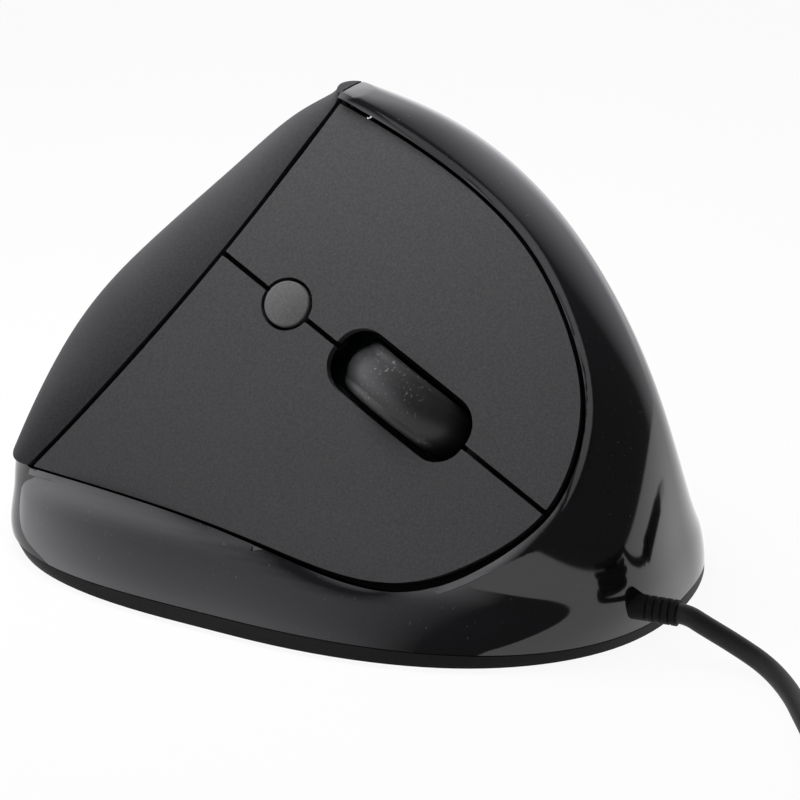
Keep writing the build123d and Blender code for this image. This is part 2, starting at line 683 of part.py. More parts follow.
def thumb_button(middle_y):
    """A curved cap with a flange inside the wall and a boss over its switch."""
    cap = thumb_prism(middle_y, 0) & thumb_surface(-THUMB_PROUD)
    flange = thumb_prism(middle_y, 0, THUMB_FLANGE_WIDTH) & thumb_surface(THUMB_FLANGE_DEPTH)
    tip = THUMB_BOARD_X - TACT_SIZE[2] - PLUNGER_HEIGHT - BOSS_GAP
    pin = thumb_rod(middle_y, THUMB_BOSS_R, -HALF_WIDTH, tip) & thumb_surface(WALL)
    return (cap + flange - thumb_surface(THUMB_FLANGE_DEPTH + THUMB_FLANGE)) + pin


def thumb_switch_place(middle_y):
    return Plane(origin=(THUMB_BOARD_X, middle_y, THUMB_HEIGHT), z_dir=(-1, 0, 0)).location


def thumb_board():
    places = thumb_post_places()
    length = places[1] - places[0] + 2 * THUMB_POST_R + 2 * CLEARANCE
    board = Box(BOARD_THICKNESS, length, THUMB_BOARD_TALL, align=(Align.MIN, Align.CENTER, Align.CENTER))
    return Pos(THUMB_BOARD_X, THUMB_MIDDLE, THUMB_HEIGHT) * board


def board_post_places():
    long_x = MAIN_BOARD_SIZE[0] / 2 - BOARD_SCREW_MARGIN
    long_y = MAIN_BOARD_SIZE[1] / 2 - BOARD_SCREW_MARGIN
    x, y = MAIN_BOARD_MIDDLE
    return [(x + side_x * long_x, y + side_y * long_y) for side_x in (-1, 1) for side_y in (-1, 1)]


def foot(name, grown=0.0):
    """A slippery foot with round ends, partly sunk in the bottom plate."""
    x, y = tuple(share_place((*FOOT_SHARES[name], 0)))[:2]
    shape = SlotOverall(FOOT_LENGTH + 2 * grown, FOOT_WIDTH + 2 * grown)
    turn = 0 if name in ACROSS_FEET else 90
    return extrude(Pos(x, y) * Rot(0, 0, turn) * shape, amount=FOOT_THICKNESS)


def case_screw(place):
    """A round-headed screw from below into its post."""
    head = post(place, SCREW_HEAD_R, FOOT_STAND, FOOT_STAND + SCREW_HEAD)
    return head + post(place, SCREW_R, FOOT_STAND + SCREW_HEAD, FOOT_STAND + SCREW_HEAD + SCREW_LENGTH)


def case_screws():
    return Part() + [case_screw(place) for place in screw_places(CASE_SCREW_SHARES + PALM_SCREW_SHARES)]


def bottom_plate():
    """The base: the hull's lowest slice, with foot pockets, screw holes, the sensor window and posts."""
    hull = loft([section(row, 0) for row in HULL_SHARES[:3]])
    plate = below(above(hull, FOOT_STAND), PLATE_TOP)
    plate += [post(place, PLATE_POST_R, PLATE_TOP - WALL / 2, PLATE_TOP + MAIN_BOARD_LIFT) for place in
              board_post_places()]
    for name in FOOT_SHARES:
        plate -= foot(name, FIT)
    for place in screw_places(CASE_SCREW_SHARES + PALM_SCREW_SHARES):
        plate -= post(place, SCREW_HEAD_R + FIT, 0, FOOT_STAND + SCREW_HEAD)
        plate -= post(place, SCREW_R + FIT, 0, PLATE_TOP)
    for place in board_post_places():
        plate -= post(place, BOARD_SCREW_R + FIT, PLATE_TOP, PLATE_TOP + MAIN_BOARD_LIFT)
    return plate - block((*MAIN_BOARD_MIDDLE, 0), (*WINDOW_SIZE, PLATE_TOP))


def board_top():
    return PLATE_TOP + MAIN_BOARD_LIFT + MAIN_BOARD_SIZE[2]


def main_board():
    """The board with the sensor, on four posts."""
    board = block((*MAIN_BOARD_MIDDLE, PLATE_TOP + MAIN_BOARD_LIFT), MAIN_BOARD_SIZE)
    board -= block((*MAIN_BOARD_MIDDLE, PLATE_TOP + MAIN_BOARD_LIFT), (*WINDOW_SIZE, MAIN_BOARD_SIZE[2]))
    for place in board_post_places():
        board -= post(place, BOARD_SCREW_R + FIT, PLATE_TOP, board_top())
    return board


def board_screw(place):
    """A small screw, its head on the place's upper side."""
    shank = Cylinder(BOARD_SCREW_R, BOARD_SCREW_LENGTH, align=(Align.CENTER, Align.CENTER, Align.MAX))
    head = Cylinder(BOARD_SCREW_HEAD_R, BOARD_SCREW_HEAD, align=(Align.CENTER, Align.CENTER, Align.MIN))
    return place * (shank + head)


def board_screws():
    screws = [board_screw(Pos(x, y, board_top())) for x, y in board_post_places()]
    under = BOARD_DEPTH + BOARD_THICKNESS
    screws += [board_screw(face_place(run, rise, under) * Rot(180, 0, 0)) for run, rise in STANDOFF_PLACES]
    return Part() + screws


def sensor_lens():
    """A clear block under the board, its boss down in the window."""
    lens = block((*MAIN_BOARD_MIDDLE, PLATE_TOP), (*LENS_SIZE, MAIN_BOARD_LIFT))
    boss_size = [side - 2 * FIT for side in WINDOW_SIZE]
    return lens + block((*MAIN_BOARD_MIDDLE, FOOT_STAND + LENS_STEP), (*boss_size, PLATE_TOP))


def sensor_led():
    """A lamp on the board that points at the sensor."""
    x, y = MAIN_BOARD_MIDDLE
    lamp = Cylinder(LED_R, LED_LENGTH, align=(Align.CENTER, Align.CENTER, Align.MAX))
    base = Cylinder(LED_R + WALL / 4, WALL / 2, align=(Align.CENTER, Align.CENTER, Align.MAX))
    place = Pos(x, y - CHIP_SIZE[1] / 2 - CLEARANCE, board_top() + LED_R + WALL / 4) * Rot(-90, 0, 0)
    return place * (lamp + Pos(0, 0, -LED_LENGTH) * base)


def ribbon_cable():
    """A flat lead from the main board up to the button board."""
    top = face_place(RIBBON_RUN, BOARD_RISES[0] / 2, BOARD_DEPTH + BOARD_THICKNESS + CLEARANCE).position
    away = Vector(FACE.z_dir.X, 0, FACE.z_dir.Z).normalized()
    foot_point = Vector(RIBBON_FOOT_X, top.Y, board_top())
    knee = top - away * RIBBON_WIDTH
    bend = Vector(RIBBON_FOOT_X, top.Y, knee.Z - (knee.X - RIBBON_FOOT_X) * away.Z / away.X)
    path = FilletPolyline(foot_point, bend, top, radius=RIBBON_BEND)
    start = Plane(origin=foot_point, x_dir=(0, 1, 0), z_dir=(0, 0, 1))
    return sweep(start * Rectangle(RIBBON_WIDTH, RIBBON_THICKNESS), path=path)


def cord_boot():
    """The strain relief: a ringed sleeve through the wall with a flange inside."""
    tip = BOOT_LENGTH
    body = rod_along_cord(BOOT_R, -BOOT_NECK - BOOT_FLANGE, tip)
    body += rod_along_cord(BOOT_FLANGE_R, -BOOT_NECK - BOOT_FLANGE, -BOOT_NECK)
    for number in range(BOOT_RINGS):
        start = tip - BOOT_RING_STEP * (number + 1)
        ring = rod_along_cord(BOOT_R, start, start + BOOT_RING_WIDTH)
        body -= ring - rod_along_cord(BOOT_R - BOOT_RING_DEPTH, start, start + BOOT_RING_WIDTH)
    return body


def rounded_path(points):
    """Straight runs joined by arcs as large as each pair of runs allows, with the radii."""
    places = [Vector(*point) for point in points]
    radii = []
    for number in range(1, len(places) - 1):
        before = places[number] - places[number - 1]
        after = places[number + 1] - places[number]
        half_turn = math.radians(before.get_angle(after)) / 2
        radii.append(BEND_SHARE * min(before.length, after.length) / math.tan(half_turn))
    return FilletPolyline(*places, radius=radii), radii


def tube(points, name):
    """A round tube along a rounded path, whose radii and volume are printed."""
    path, radii = rounded_path(points)
    way = Vector(*points[1]) - Vector(*points[0])
    solid = sweep(Plane(origin=points[0], z_dir=way) * Circle(CORD_R), path=path)
    ideal = math.pi * CORD_R ** 2 * path.length
    print(name, "radii", [round(radius, 1) for radius in radii], "length", round(path.length, 1))
    print(name, "volume over section times length", round(solid.volume / ideal, 4))
    return solid


def inner_lead():
    """The cord inside, from the boot to its connector."""
    start = along_cord(-BOOT_NECK - BOOT_FLANGE).position
    x, y = CONNECTOR_PLACE
    end = Vector(x, y + CONNECTOR_SIZE[1] / 2, board_top() + CONNECTOR_SIZE[2] / 2)
    step = (start - end).length / 3
    near_start = start - cord_aim() * step
    near_end = end + Vector(0, step, 0)
    return tube([tuple(start), tuple(near_start), tuple(near_end), tuple(end)], "inner lead")


def half_turn(start, start_way, end, end_way):
    """Two arcs that leave the start and reach the end along the two ways given."""
    across = end - start
    ways = start_way + end_way
    lean = 1 - start_way.dot(end_way)
    root = math.sqrt(across.dot(ways) ** 2 + 2 * lean * across.dot(across))
    reach = (root - across.dot(ways)) / (2 * lean)
    middle = (start + start_way * reach + end - end_way * reach) * (1 / 2)
    first = TangentArc(start, middle, tangent=start_way)
    second = TangentArc(middle, end, tangent=first % 1)
    return [first, second]


def coil_stations():
    """Each half turn's place, way and layer: in and out again, climbing where the spiral reverses."""
    radius = COIL_OUTER_R
    height = COIL_FLOOR + CORD_R
    angle = math.radians(COIL_TURN_DEG)
    middle = Vector(*COIL_MIDDLE, 0)
    stations = []

    def add_station():
        out = Vector(math.cos(angle), math.sin(angle), 0)
        way = Vector(-math.sin(angle), math.cos(angle), 0)
        stations.append((middle + out * radius + Vector(0, 0, height), way))

    add_station()
    for layer in range(COIL_LAYERS):
        inward = -1 if layer % 2 == 0 else 1
        for number in range(COIL_HALF_TURNS):
            radius += inward * COIL_STEP / 2
            angle += math.pi
            add_station()
        if layer < COIL_LAYERS - 1:
            height += COIL_STEP
            angle += math.pi
            add_station()
    return stations


def coil_path():
    """The coil's centre line, with a straight end of one diameter at each end."""
    stations = coil_stations()
    first, first_way = stations[0]
    last, last_way = stations[-1]
    edges = [Line(first - first_way * CORD_DIAMETER, first)]
    for (start, start_way), (end, end_way) in zip(stations, stations[1:]):
        edges += half_turn(start, start_way, end, end_way)
    edges.append(Line(last, last + last_way * CORD_DIAMETER))
    return Wire(edges)


def print_self_gap(path, steps_per_turn=48):
    """Print the least gap between any two turns, measured on points along the centre line."""
    turns = (COIL_LAYERS * COIL_HALF_TURNS + COIL_LAYERS - 1) / 2
    count = round(turns * steps_per_turn)
    points = [path @ (number / count) for number in range(count + 1)]
    away = steps_per_turn // 2
    least = min(
        (points[first] - points[second]).length
        for first in range(count + 1)
        for second in range(first + away, count + 1)
    )
    print("coil least self-gap", round(least - CORD_DIAMETER, 2), "length", round(path.length, 1))


def cord_coil():
    """The put-away length: one unbroken six-sided tube, wound in and out in layers."""
    path = coil_path()
    print_self_gap(path)
    first, first_way = coil_stations()[0]
    start = Plane(origin=first - first_way * CORD_DIAMETER, x_dir=(0, 0, 1), z_dir=first_way)
    return sweep(start * RegularPolygon(CORD_R, COIL_SIDES), path=path)


def cord_tie():
    """A band round all the coil's turns."""
    inner_r = COIL_OUTER_R - COIL_STEP * COIL_HALF_TURNS / 2 - CORD_R - 2 * TIE_ROOM
    outer_r = COIL_OUTER_R + CORD_R + 2 * TIE_ROOM
    tall = COIL_STEP * (COIL_LAYERS - 1) + CORD_DIAMETER + 2 * TIE_ROOM
    room = Box(outer_r - inner_r, 2 * TIE_WIDTH, tall)
    band = Box(outer_r - inner_r + 2 * TIE_THICKNESS, TIE_WIDTH, tall + 2 * TIE_THICKNESS)
    middle = Pos(*COIL_MIDDLE, tall / 2 + TIE_THICKNESS) * Rot(0, 0, COIL_TURN_DEG + 90)
    return middle * Pos((inner_r + outer_r) / 2, 0, 0) * (band - room)


def cord_lead():
    """From the boot down to the floor and on to the coil."""
    first, first_way = coil_stations()[0]
    start = along_cord(BOOT_LENGTH).position
    straight = start + cord_aim() * CORD_R
    end = first - first_way * CORD_DIAMETER
    square = end - first_way * CORD_R
    return tube([tuple(start), tuple(straight), *LEAD_POINTS, tuple(square), tuple(end)], "cord lead")


def plug_place():
    """The plug's own place: its X along the cord, away from it, lying flat."""
    return Pos(TAIL_POINTS[-1][0] - PLUG_NECK, TAIL_POINTS[-1][1], PLUG_HEIGHT) * Rot(0, 0, 180)


def cord_tail():
    """From the top of the coil down to the plug."""
    last, last_way = coil_stations()[-1]
    start = last + last_way * CORD_DIAMETER
    end = (plug_place() * Pos(-PLUG_NECK, 0, 0)).position
    square = start + last_way * CORD_R
    straight = end + Vector(CORD_R, 0, 0)
    return tube([tuple(start), tuple(square), *TAIL_POINTS[:-1], tuple(straight), tuple(end)], "cord tail")


def plug_body():
    """The moulded grip with its neck."""
    long, wide, tall = PLUG_BODY_SIZE
    grip = extrude(Plane.YZ * RectangleRounded(wide, tall, PLUG_CORNER), amount=long)
    neck = Rot(0, -90, 0) * Cylinder(PLUG_NECK_R, PLUG_NECK, align=(Align.CENTER, Align.CENTER, Align.MIN))
    hollow = Box(PLUG_SHELL_SUNK, *PLUG_SHELL_SIZE[1:], align=(Align.MAX, Align.CENTER, Align.CENTER))
    return plug_place() * (grip + neck - Pos(long, 0, 0) * hollow)


def plug_shell():
    """The plug's folded metal sleeve with its two pairs of windows."""
    long, wide, tall = PLUG_SHELL_SIZE
    align = (Align.MIN, Align.CENTER, Align.CENTER)
    sleeve = Box(long, wide, tall, align=align)
    sleeve -= Box(long, wide - 2 * PLUG_SHELL_WALL, tall - 2 * PLUG_SHELL_WALL, align=align)
    for side in (-1, 1):
        window = Box(PLUG_WINDOW, PLUG_WINDOW, tall)
        sleeve -= Pos((long + PLUG_SHELL_SUNK) / 2, side * wide / 4, 0) * window
    return plug_place() * Pos(PLUG_BODY_SIZE[0] - PLUG_SHELL_SUNK, 0, 0) * sleeve


def plug_tongue():
    """The insulating tongue that carries the contacts."""
    long, wide, tall = PLUG_SHELL_SIZE
    height = tall / 2 - PLUG_SHELL_WALL
    tongue = Box(long - PLUG_SHELL_WALL, wide - 2 * PLUG_SHELL_WALL, PLUG_TONGUE, align=(
        Align.MIN, Align.CENTER, Align.MIN))
    return plug_place() * Pos(PLUG_BODY_SIZE[0] - PLUG_SHELL_SUNK, 0, -height) * tongue


def make_parts():
    """Every node of the mouse by name."""
    speed_place = face_place(SPEED_RUN, 0, BOARD_DEPTH)
    back_y, forward_y = thumb_places()
    parts = {
        "glossy_shell": glossy_shell(),
        "palm_cover": palm_cover(),
        "bottom_plate": bottom_plate(),
        "index_button": button(1, INDEX_EAR_RISES),
        "middle_button": button(-1, MIDDLE_EAR_RISES),
        "index_hinge_pin": hinge_bore(INDEX_EAR_RISES, HINGE_PIN_R),
        "middle_hinge_pin": hinge_bore(MIDDLE_EAR_RISES, HINGE_PIN_R),
        "speed_button": speed_button(),
        "speed_switch": tact_switch(speed_place),
        "speed_plunger": tact_plunger(speed_place),
        "wheel_tyre": wheel_tyre(),
        "wheel_hub": wheel_hub(),
        "wheel_carrier": wheel_carrier(),
        "wheel_switch": tact_switch(wheel_switch_place()),
        "wheel_plunger": tact_plunger(wheel_switch_place()),
        "encoder": encoder(),
        "chassis": chassis(),
        "button_board": button_board(),
        "index_switch": micro_switch(1),
        "index_plunger": micro_plunger(1),
        "middle_switch": micro_switch(-1),
        "middle_plunger": micro_plunger(-1),
        "forward_button": thumb_button(forward_y),
        "back_button": thumb_button(back_y),
        "forward_switch": tact_switch(thumb_switch_place(forward_y)),
        "forward_plunger": tact_plunger(thumb_switch_place(forward_y)),
        "back_switch": tact_switch(thumb_switch_place(back_y)),
        "back_plunger": tact_plunger(thumb_switch_place(back_y)),
        "thumb_board": thumb_board(),
        "main_board": main_board(),
        "sensor_chip": block((*MAIN_BOARD_MIDDLE, board_top()), CHIP_SIZE),
        "sensor_lens": sensor_lens(),
        "sensor_led": sensor_led(),
        "controller_chip": block((*CONTROLLER_PLACE, board_top()), CONTROLLER_SIZE),
        "cord_connector": block((*CONNECTOR_PLACE, board_top()), CONNECTOR_SIZE),
        "ribbon_cable": ribbon_cable(),
        "case_screws": case_screws(),
        "board_screws": board_screws(),
        "cord_boot": cord_boot(),
        "inner_lead": inner_lead(),
        "cord_lead": cord_lead(),
        "cord_coil": cord_coil(),
        "cord_tie": cord_tie(),
        "cord_tail": cord_tail(),
        "plug_body": plug_body(),
        "plug_shell": plug_shell(),
        "plug_tongue": plug_tongue(),
    }
    for name in FOOT_SHARES:
        parts[name] = foot(name)
    return parts


os.makedirs("parts", exist_ok=True)
for name, piece in make_parts().items():
    export_step(piece, f"parts/{name}.step")
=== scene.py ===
import json
import math

import bmesh
import bpy
import numpy as np
from mathutils import Matrix, Vector
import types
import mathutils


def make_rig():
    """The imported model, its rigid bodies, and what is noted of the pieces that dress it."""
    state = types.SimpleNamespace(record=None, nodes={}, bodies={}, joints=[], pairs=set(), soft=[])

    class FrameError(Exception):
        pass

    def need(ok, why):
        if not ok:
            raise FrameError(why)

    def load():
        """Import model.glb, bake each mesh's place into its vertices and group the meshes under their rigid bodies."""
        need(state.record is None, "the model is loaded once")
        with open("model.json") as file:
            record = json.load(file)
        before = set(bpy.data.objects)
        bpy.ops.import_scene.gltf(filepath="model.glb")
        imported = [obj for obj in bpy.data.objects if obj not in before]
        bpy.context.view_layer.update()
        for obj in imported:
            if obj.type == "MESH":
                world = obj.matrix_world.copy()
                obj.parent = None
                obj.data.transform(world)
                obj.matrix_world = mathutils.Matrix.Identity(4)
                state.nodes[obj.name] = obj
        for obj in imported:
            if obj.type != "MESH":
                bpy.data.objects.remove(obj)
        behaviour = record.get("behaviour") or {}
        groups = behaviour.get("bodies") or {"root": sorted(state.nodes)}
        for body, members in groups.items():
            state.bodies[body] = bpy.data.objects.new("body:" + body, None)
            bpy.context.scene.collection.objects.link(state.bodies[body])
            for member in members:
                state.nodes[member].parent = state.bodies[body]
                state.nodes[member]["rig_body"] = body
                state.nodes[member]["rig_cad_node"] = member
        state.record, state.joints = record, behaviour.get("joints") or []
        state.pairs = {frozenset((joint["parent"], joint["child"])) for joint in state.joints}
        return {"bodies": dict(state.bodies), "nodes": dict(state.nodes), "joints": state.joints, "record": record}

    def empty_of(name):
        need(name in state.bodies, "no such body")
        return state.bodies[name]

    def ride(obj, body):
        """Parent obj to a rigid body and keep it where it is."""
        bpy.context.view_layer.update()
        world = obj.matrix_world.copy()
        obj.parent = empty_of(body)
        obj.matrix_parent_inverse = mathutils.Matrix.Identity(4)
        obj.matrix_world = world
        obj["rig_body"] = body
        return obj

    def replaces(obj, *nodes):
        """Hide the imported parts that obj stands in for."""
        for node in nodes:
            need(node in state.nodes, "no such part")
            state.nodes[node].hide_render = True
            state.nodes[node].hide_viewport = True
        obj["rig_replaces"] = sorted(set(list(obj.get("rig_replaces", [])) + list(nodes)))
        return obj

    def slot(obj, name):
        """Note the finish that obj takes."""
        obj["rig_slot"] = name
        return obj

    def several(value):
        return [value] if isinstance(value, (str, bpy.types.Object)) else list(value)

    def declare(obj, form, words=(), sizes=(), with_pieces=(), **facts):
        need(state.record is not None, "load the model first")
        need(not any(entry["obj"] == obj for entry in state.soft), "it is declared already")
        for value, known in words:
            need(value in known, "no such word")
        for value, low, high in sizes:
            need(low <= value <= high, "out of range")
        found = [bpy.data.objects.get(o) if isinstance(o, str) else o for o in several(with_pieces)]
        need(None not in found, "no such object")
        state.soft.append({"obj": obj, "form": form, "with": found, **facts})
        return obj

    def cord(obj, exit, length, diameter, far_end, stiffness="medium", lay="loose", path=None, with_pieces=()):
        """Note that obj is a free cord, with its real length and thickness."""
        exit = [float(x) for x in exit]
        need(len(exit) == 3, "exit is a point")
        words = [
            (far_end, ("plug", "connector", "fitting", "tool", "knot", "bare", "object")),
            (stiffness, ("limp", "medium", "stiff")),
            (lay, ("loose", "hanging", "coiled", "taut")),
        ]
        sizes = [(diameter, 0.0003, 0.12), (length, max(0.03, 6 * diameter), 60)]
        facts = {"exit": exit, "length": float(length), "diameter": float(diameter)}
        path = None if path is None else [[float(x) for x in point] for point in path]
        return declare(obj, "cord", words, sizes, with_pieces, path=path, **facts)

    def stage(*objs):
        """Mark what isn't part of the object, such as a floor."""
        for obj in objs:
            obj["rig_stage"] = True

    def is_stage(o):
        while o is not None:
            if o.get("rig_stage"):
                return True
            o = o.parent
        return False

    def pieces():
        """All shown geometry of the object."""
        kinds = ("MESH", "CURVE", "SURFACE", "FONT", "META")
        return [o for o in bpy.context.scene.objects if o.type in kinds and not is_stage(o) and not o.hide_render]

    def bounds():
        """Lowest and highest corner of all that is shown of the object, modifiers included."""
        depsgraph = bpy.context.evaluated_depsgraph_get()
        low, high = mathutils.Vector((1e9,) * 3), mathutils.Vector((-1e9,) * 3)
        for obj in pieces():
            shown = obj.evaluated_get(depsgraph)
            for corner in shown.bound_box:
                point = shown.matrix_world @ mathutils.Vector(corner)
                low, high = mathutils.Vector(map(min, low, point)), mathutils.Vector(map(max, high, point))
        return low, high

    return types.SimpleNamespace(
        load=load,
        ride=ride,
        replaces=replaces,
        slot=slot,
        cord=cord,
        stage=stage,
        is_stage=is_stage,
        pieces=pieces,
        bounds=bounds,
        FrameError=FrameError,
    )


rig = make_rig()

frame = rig.load()
with open("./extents.json", "w") as size_file:
    json.dump({"loaded": [list(corner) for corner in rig.bounds()]}, size_file)

# Sizes in millimetres, as in the model but for the tyre's width and lips, until a mesh is made
MM = 0.001
LENGTH, WIDTH, HEIGHT = 118.0, 78.0, 75.0
HALF_LENGTH, HALF_WIDTH = LENGTH / 2, WIDTH / 2
WALL = 2.0
PLATE_TOP = 2.8
SKIRT_TOP = 14.4
SEAM_GAP = 0.4

# Horizontal sections of the glossy hull, as shares of the overall sizes, then four roundness powers
HULL_SHARES = [
    (0.000, -0.14, 1.000, -0.975, -0.985, 0.17, 0.99, -0.05, 2.3, 2.3, 2.2, 3.2),
    (0.053, -0.14, 1.000, -0.982, -0.970, 0.17, 0.93, -0.14, 2.3, 2.3, 2.5, 3.8),
    (0.120, -0.13, 0.988, -0.982, -0.880, 0.17, 0.775, -0.20, 2.4, 2.3, 3.2, 4.4),
    (0.200, -0.13, 0.966, -0.979, -0.800, 0.14, 0.683, 0.03, 2.3, 2.3, 3.3, 5.5),
    (0.400, -0.13, 0.902, -0.912, -0.710, 0.08, 0.720, -0.07, 2.05, 2.2, 2.3, 3.0),
    (0.600, -0.23, 0.757, -0.727, -0.730, 0.00, 0.560, -0.07, 1.92, 2.1, 2.2, 2.4),
    (0.773, -0.41, 0.515, -0.521, -0.770, -0.05, 0.150, -0.07, 1.94, 2.1, 2.2, 2.2),
    (0.893, -0.51, 0.252, -0.372, -0.750, -0.10, -0.100, -0.12, 2.1, 2.0, 1.9, 2.0),
    (0.960, -0.53, 0.055, -0.256, -0.660, -0.14, -0.300, -0.15, 1.9, 2.0, 1.8, 2.0),
    (0.995, -0.51, -0.110, -0.216, -0.580, -0.17, -0.360, -0.17, 1.85, 2.0, 1.8, 2.0),
]
# The palm hull's own finger side, heel and finger back power, by the number of its hull row
PALM_SHARES = [
    (2, 0.713, -0.898, -0.982, 2.3),
    (3, 0.603, -0.841, -0.979, 2.9),
    (4, 0.423, -0.653, -0.912, 2.2),
    (5, 0.179, -0.458, -0.727, 1.95),
    (6, -0.072, -0.325, -0.521, 1.75),
    (7, -0.264, -0.251, -0.372, 1.7),
    (8, -0.400, -0.202, -0.256, 1.6),
    (9, -0.423, -0.190, -0.216, 1.6),
]
# The button face and its outline, as in the model
FACE_MIDDLE_SHARES = (0.287, 0.224, 0.483)
FACE_AHEAD_SHARES = (0.444, 0.685, 0.336)
FACE_ABOVE_SHARES = (-0.130, 0.436, 0.775)
FACE_CROWN = 220.0
BUTTON_SHARES = [
    (-1.38, 1.068), (-0.767, 1.133), (-0.067, 1.093), (0.493, 0.877), (0.867, 0.590), (1.06, 0.25),
    (1.10, -0.067), (0.987, -0.423), (0.72, -0.797), (0.25, -1.033), (-0.50, -1.247), (-1.56, -1.647),
]
SEAM_CREST_SHARES = (-1.343, 0.25)
BUTTON_GAPS = [0.6, 0.6, 0.7, 0.8, 1.0, 1.2, 1.4, 1.6, 1.6, 1.0, 0.5, 0.4]
BUTTON_REAR_GAP = 0.5
BUTTON_THICKNESS = 2.0
SPLIT_GAP = 0.9
SLOT_LENGTH, SLOT_WIDTH, SLOT_CORNER = 28.4, 11.6, 5.2
SPEED_RUN, SPEED_R, SPEED_HOLE_R = -25.4, 3.9, 4.5
SPEED_PROUD, SPEED_DOME, SPEED_SINK = 0.7, 0.5, 2.2
RIM_WIDTH, RIM_DROP = 1.9, 0.8
WHEEL_R, WHEEL_DEPTH, WHEEL_WIDTH = 13.0, 8.8, 9.2
TYRE_THICKNESS, TYRE_CROWN, TYRE_LIP = 3.0, 1.1, 1.5
THUMB_HEIGHT, THUMB_MIDDLE, THUMB_TALL = 46.5, 6.0, 8.0
THUMB_LENGTH, THUMB_SPACE, THUMB_CORNER = 18.0, 1.0, 2.6
THUMB_GAP, THUMB_PROUD = 0.35, 0.6
CAP_RISE = 0.2
WELL_DEPTH = 6.85

# Fineness of the surfaces: steps, rows, columns and halvings, then angles and least distances in metres
OUTLINE_STEPS, LEVEL_SAMPLES = 16, 2000
BORDER_HALVINGS, RIM_HALVINGS = 14, 24
SKIRT_ROWS, SHELL_ROWS, PALM_GRID_ROWS, HULL_COLUMNS = 14, 132, 150, 361
BUTTON_GRID, THUMB_GRID = (173, 105), (60, 30)
CORD_ROUNDNESS, CORD_STEPS = 5, 6
EDGE_SEGMENTS, EDGE_ANGLE_DEG, SMOOTH_ANGLE_DEG = 3, 50, 32
MERGE_DISTANCE, LEAST_EDGE = 2e-6, 1e-6

# The cord's route, as in the model
CORD_DIAMETER = 3.4
CORD_LENGTH = 1420.0
CORD_EXIT = (11.5, 56.2, 7.6)
CORD_AIM = (-0.04, 1.0, 0.05)
BOOT_LENGTH = 7.0
LEAD_POINTS = [
    (11.0, 67.4, 6.8), (10.9, 73.0, 4.6), (12.0, 79.0, 2.7), (16.6, 84.6, 1.9), (23.6, 89.6, 1.8),
    (32.0, 95.4, 1.9), (40.2, 103.4, 2.3),
]
TAIL_POINTS = [
    (-0.6, 123.4, 13.4), (-5.4, 114.8, 9.2), (-13.4, 109.4, 5.4), (-20.3, 108.0, 3.7), (-22.0, 108.0, 3.7),
]
COIL_MIDDLE = (26.0, 126.0)
COIL_TURN_DEG = -20.0
COIL_OUTER_R, COIL_STEP, COIL_HALF_TURNS, COIL_LAYERS = 24.0, 4.55, 5, 4
COIL_FLOOR = 1.3
COIL_POINTS_PER_HALF = 6

# The view
VIEW_AZIMUTH_DEG, VIEW_ELEVATION_DEG = 116.0, 27.0
VIEW_DISTANCE = 620.0
VIEW_TARGET = (0.0, 0.9, 27.4)
VIEW_FOCAL_PIXELS = 3701.0
VIEW_MIDDLE_PIXEL = 361.0
VIEW_PIXELS = 800.0
SENSOR_MM = 36.0

# The studio: the room's level, the mirrored room from the backdrop to the near side and towards the left,
# the floor in the gloss, and the soft boxes in metres and watts
ROOM_LEVEL = 0.17
MIRROR_FADE = (-0.75, -0.3, 2.3, 0.1)
MIRROR_LEFT = (0.3, 0.95, 0.0, 3.2)
FLOOR_MIRRORED = 1.4
FLOOR_HALF, FLOOR_DROP, FLOOR_WHITE = 1200.0, 0.02, 0.93
LIGHT_AIM = (0.0, 0.0, 0.03)
SOFT_BOXES = [
    ("top_box", (0.0, -0.06, 0.22), (0.14, 0.14), 0.55),
    ("front_box", (0.6, 0.0, 0.6), (0.6, 0.6), 0.5),
    ("back_box", (-0.6, 0.5, 0.5), (0.6, 0.6), 1.0),
]


def natural_spline(values, at):
    """A natural cubic spline through the rows of values at 0, 1, 2 and so on."""
    values = np.asarray(values, float)
    count = len(values)
    matrix = np.zeros((count, count))
    right = np.zeros_like(values)
    matrix[0, 0] = matrix[-1, -1] = 1
    for row in range(1, count - 1):
        matrix[row, row - 1:row + 2] = 1, 4, 1
        right[row] = 6 * (values[row + 1] - 2 * values[row] + values[row - 1])
    bend = np.linalg.solve(matrix, right)
    first = np.clip(np.floor(at).astype(int), 0, count - 2)
    part = (at - first)[..., None]
    rest = 1 - part
    line = values[first] * rest + values[first + 1] * part
    curve = (rest ** 3 - rest) * bend[first] + (part ** 3 - part) * bend[first + 1]
    return line + curve / 6


def palm_rows():
    rows = []
    for number, finger_x, finger_y, heel_y, power in PALM_SHARES:
        row = list(HULL_SHARES[number])
        row[3], row[6], row[7], row[11] = heel_y, finger_x, finger_y, power
        rows.append(row)
    return rows


HULL_ROWS = np.array(HULL_SHARES, float)
PALM_ROWS = np.array(palm_rows(), float)


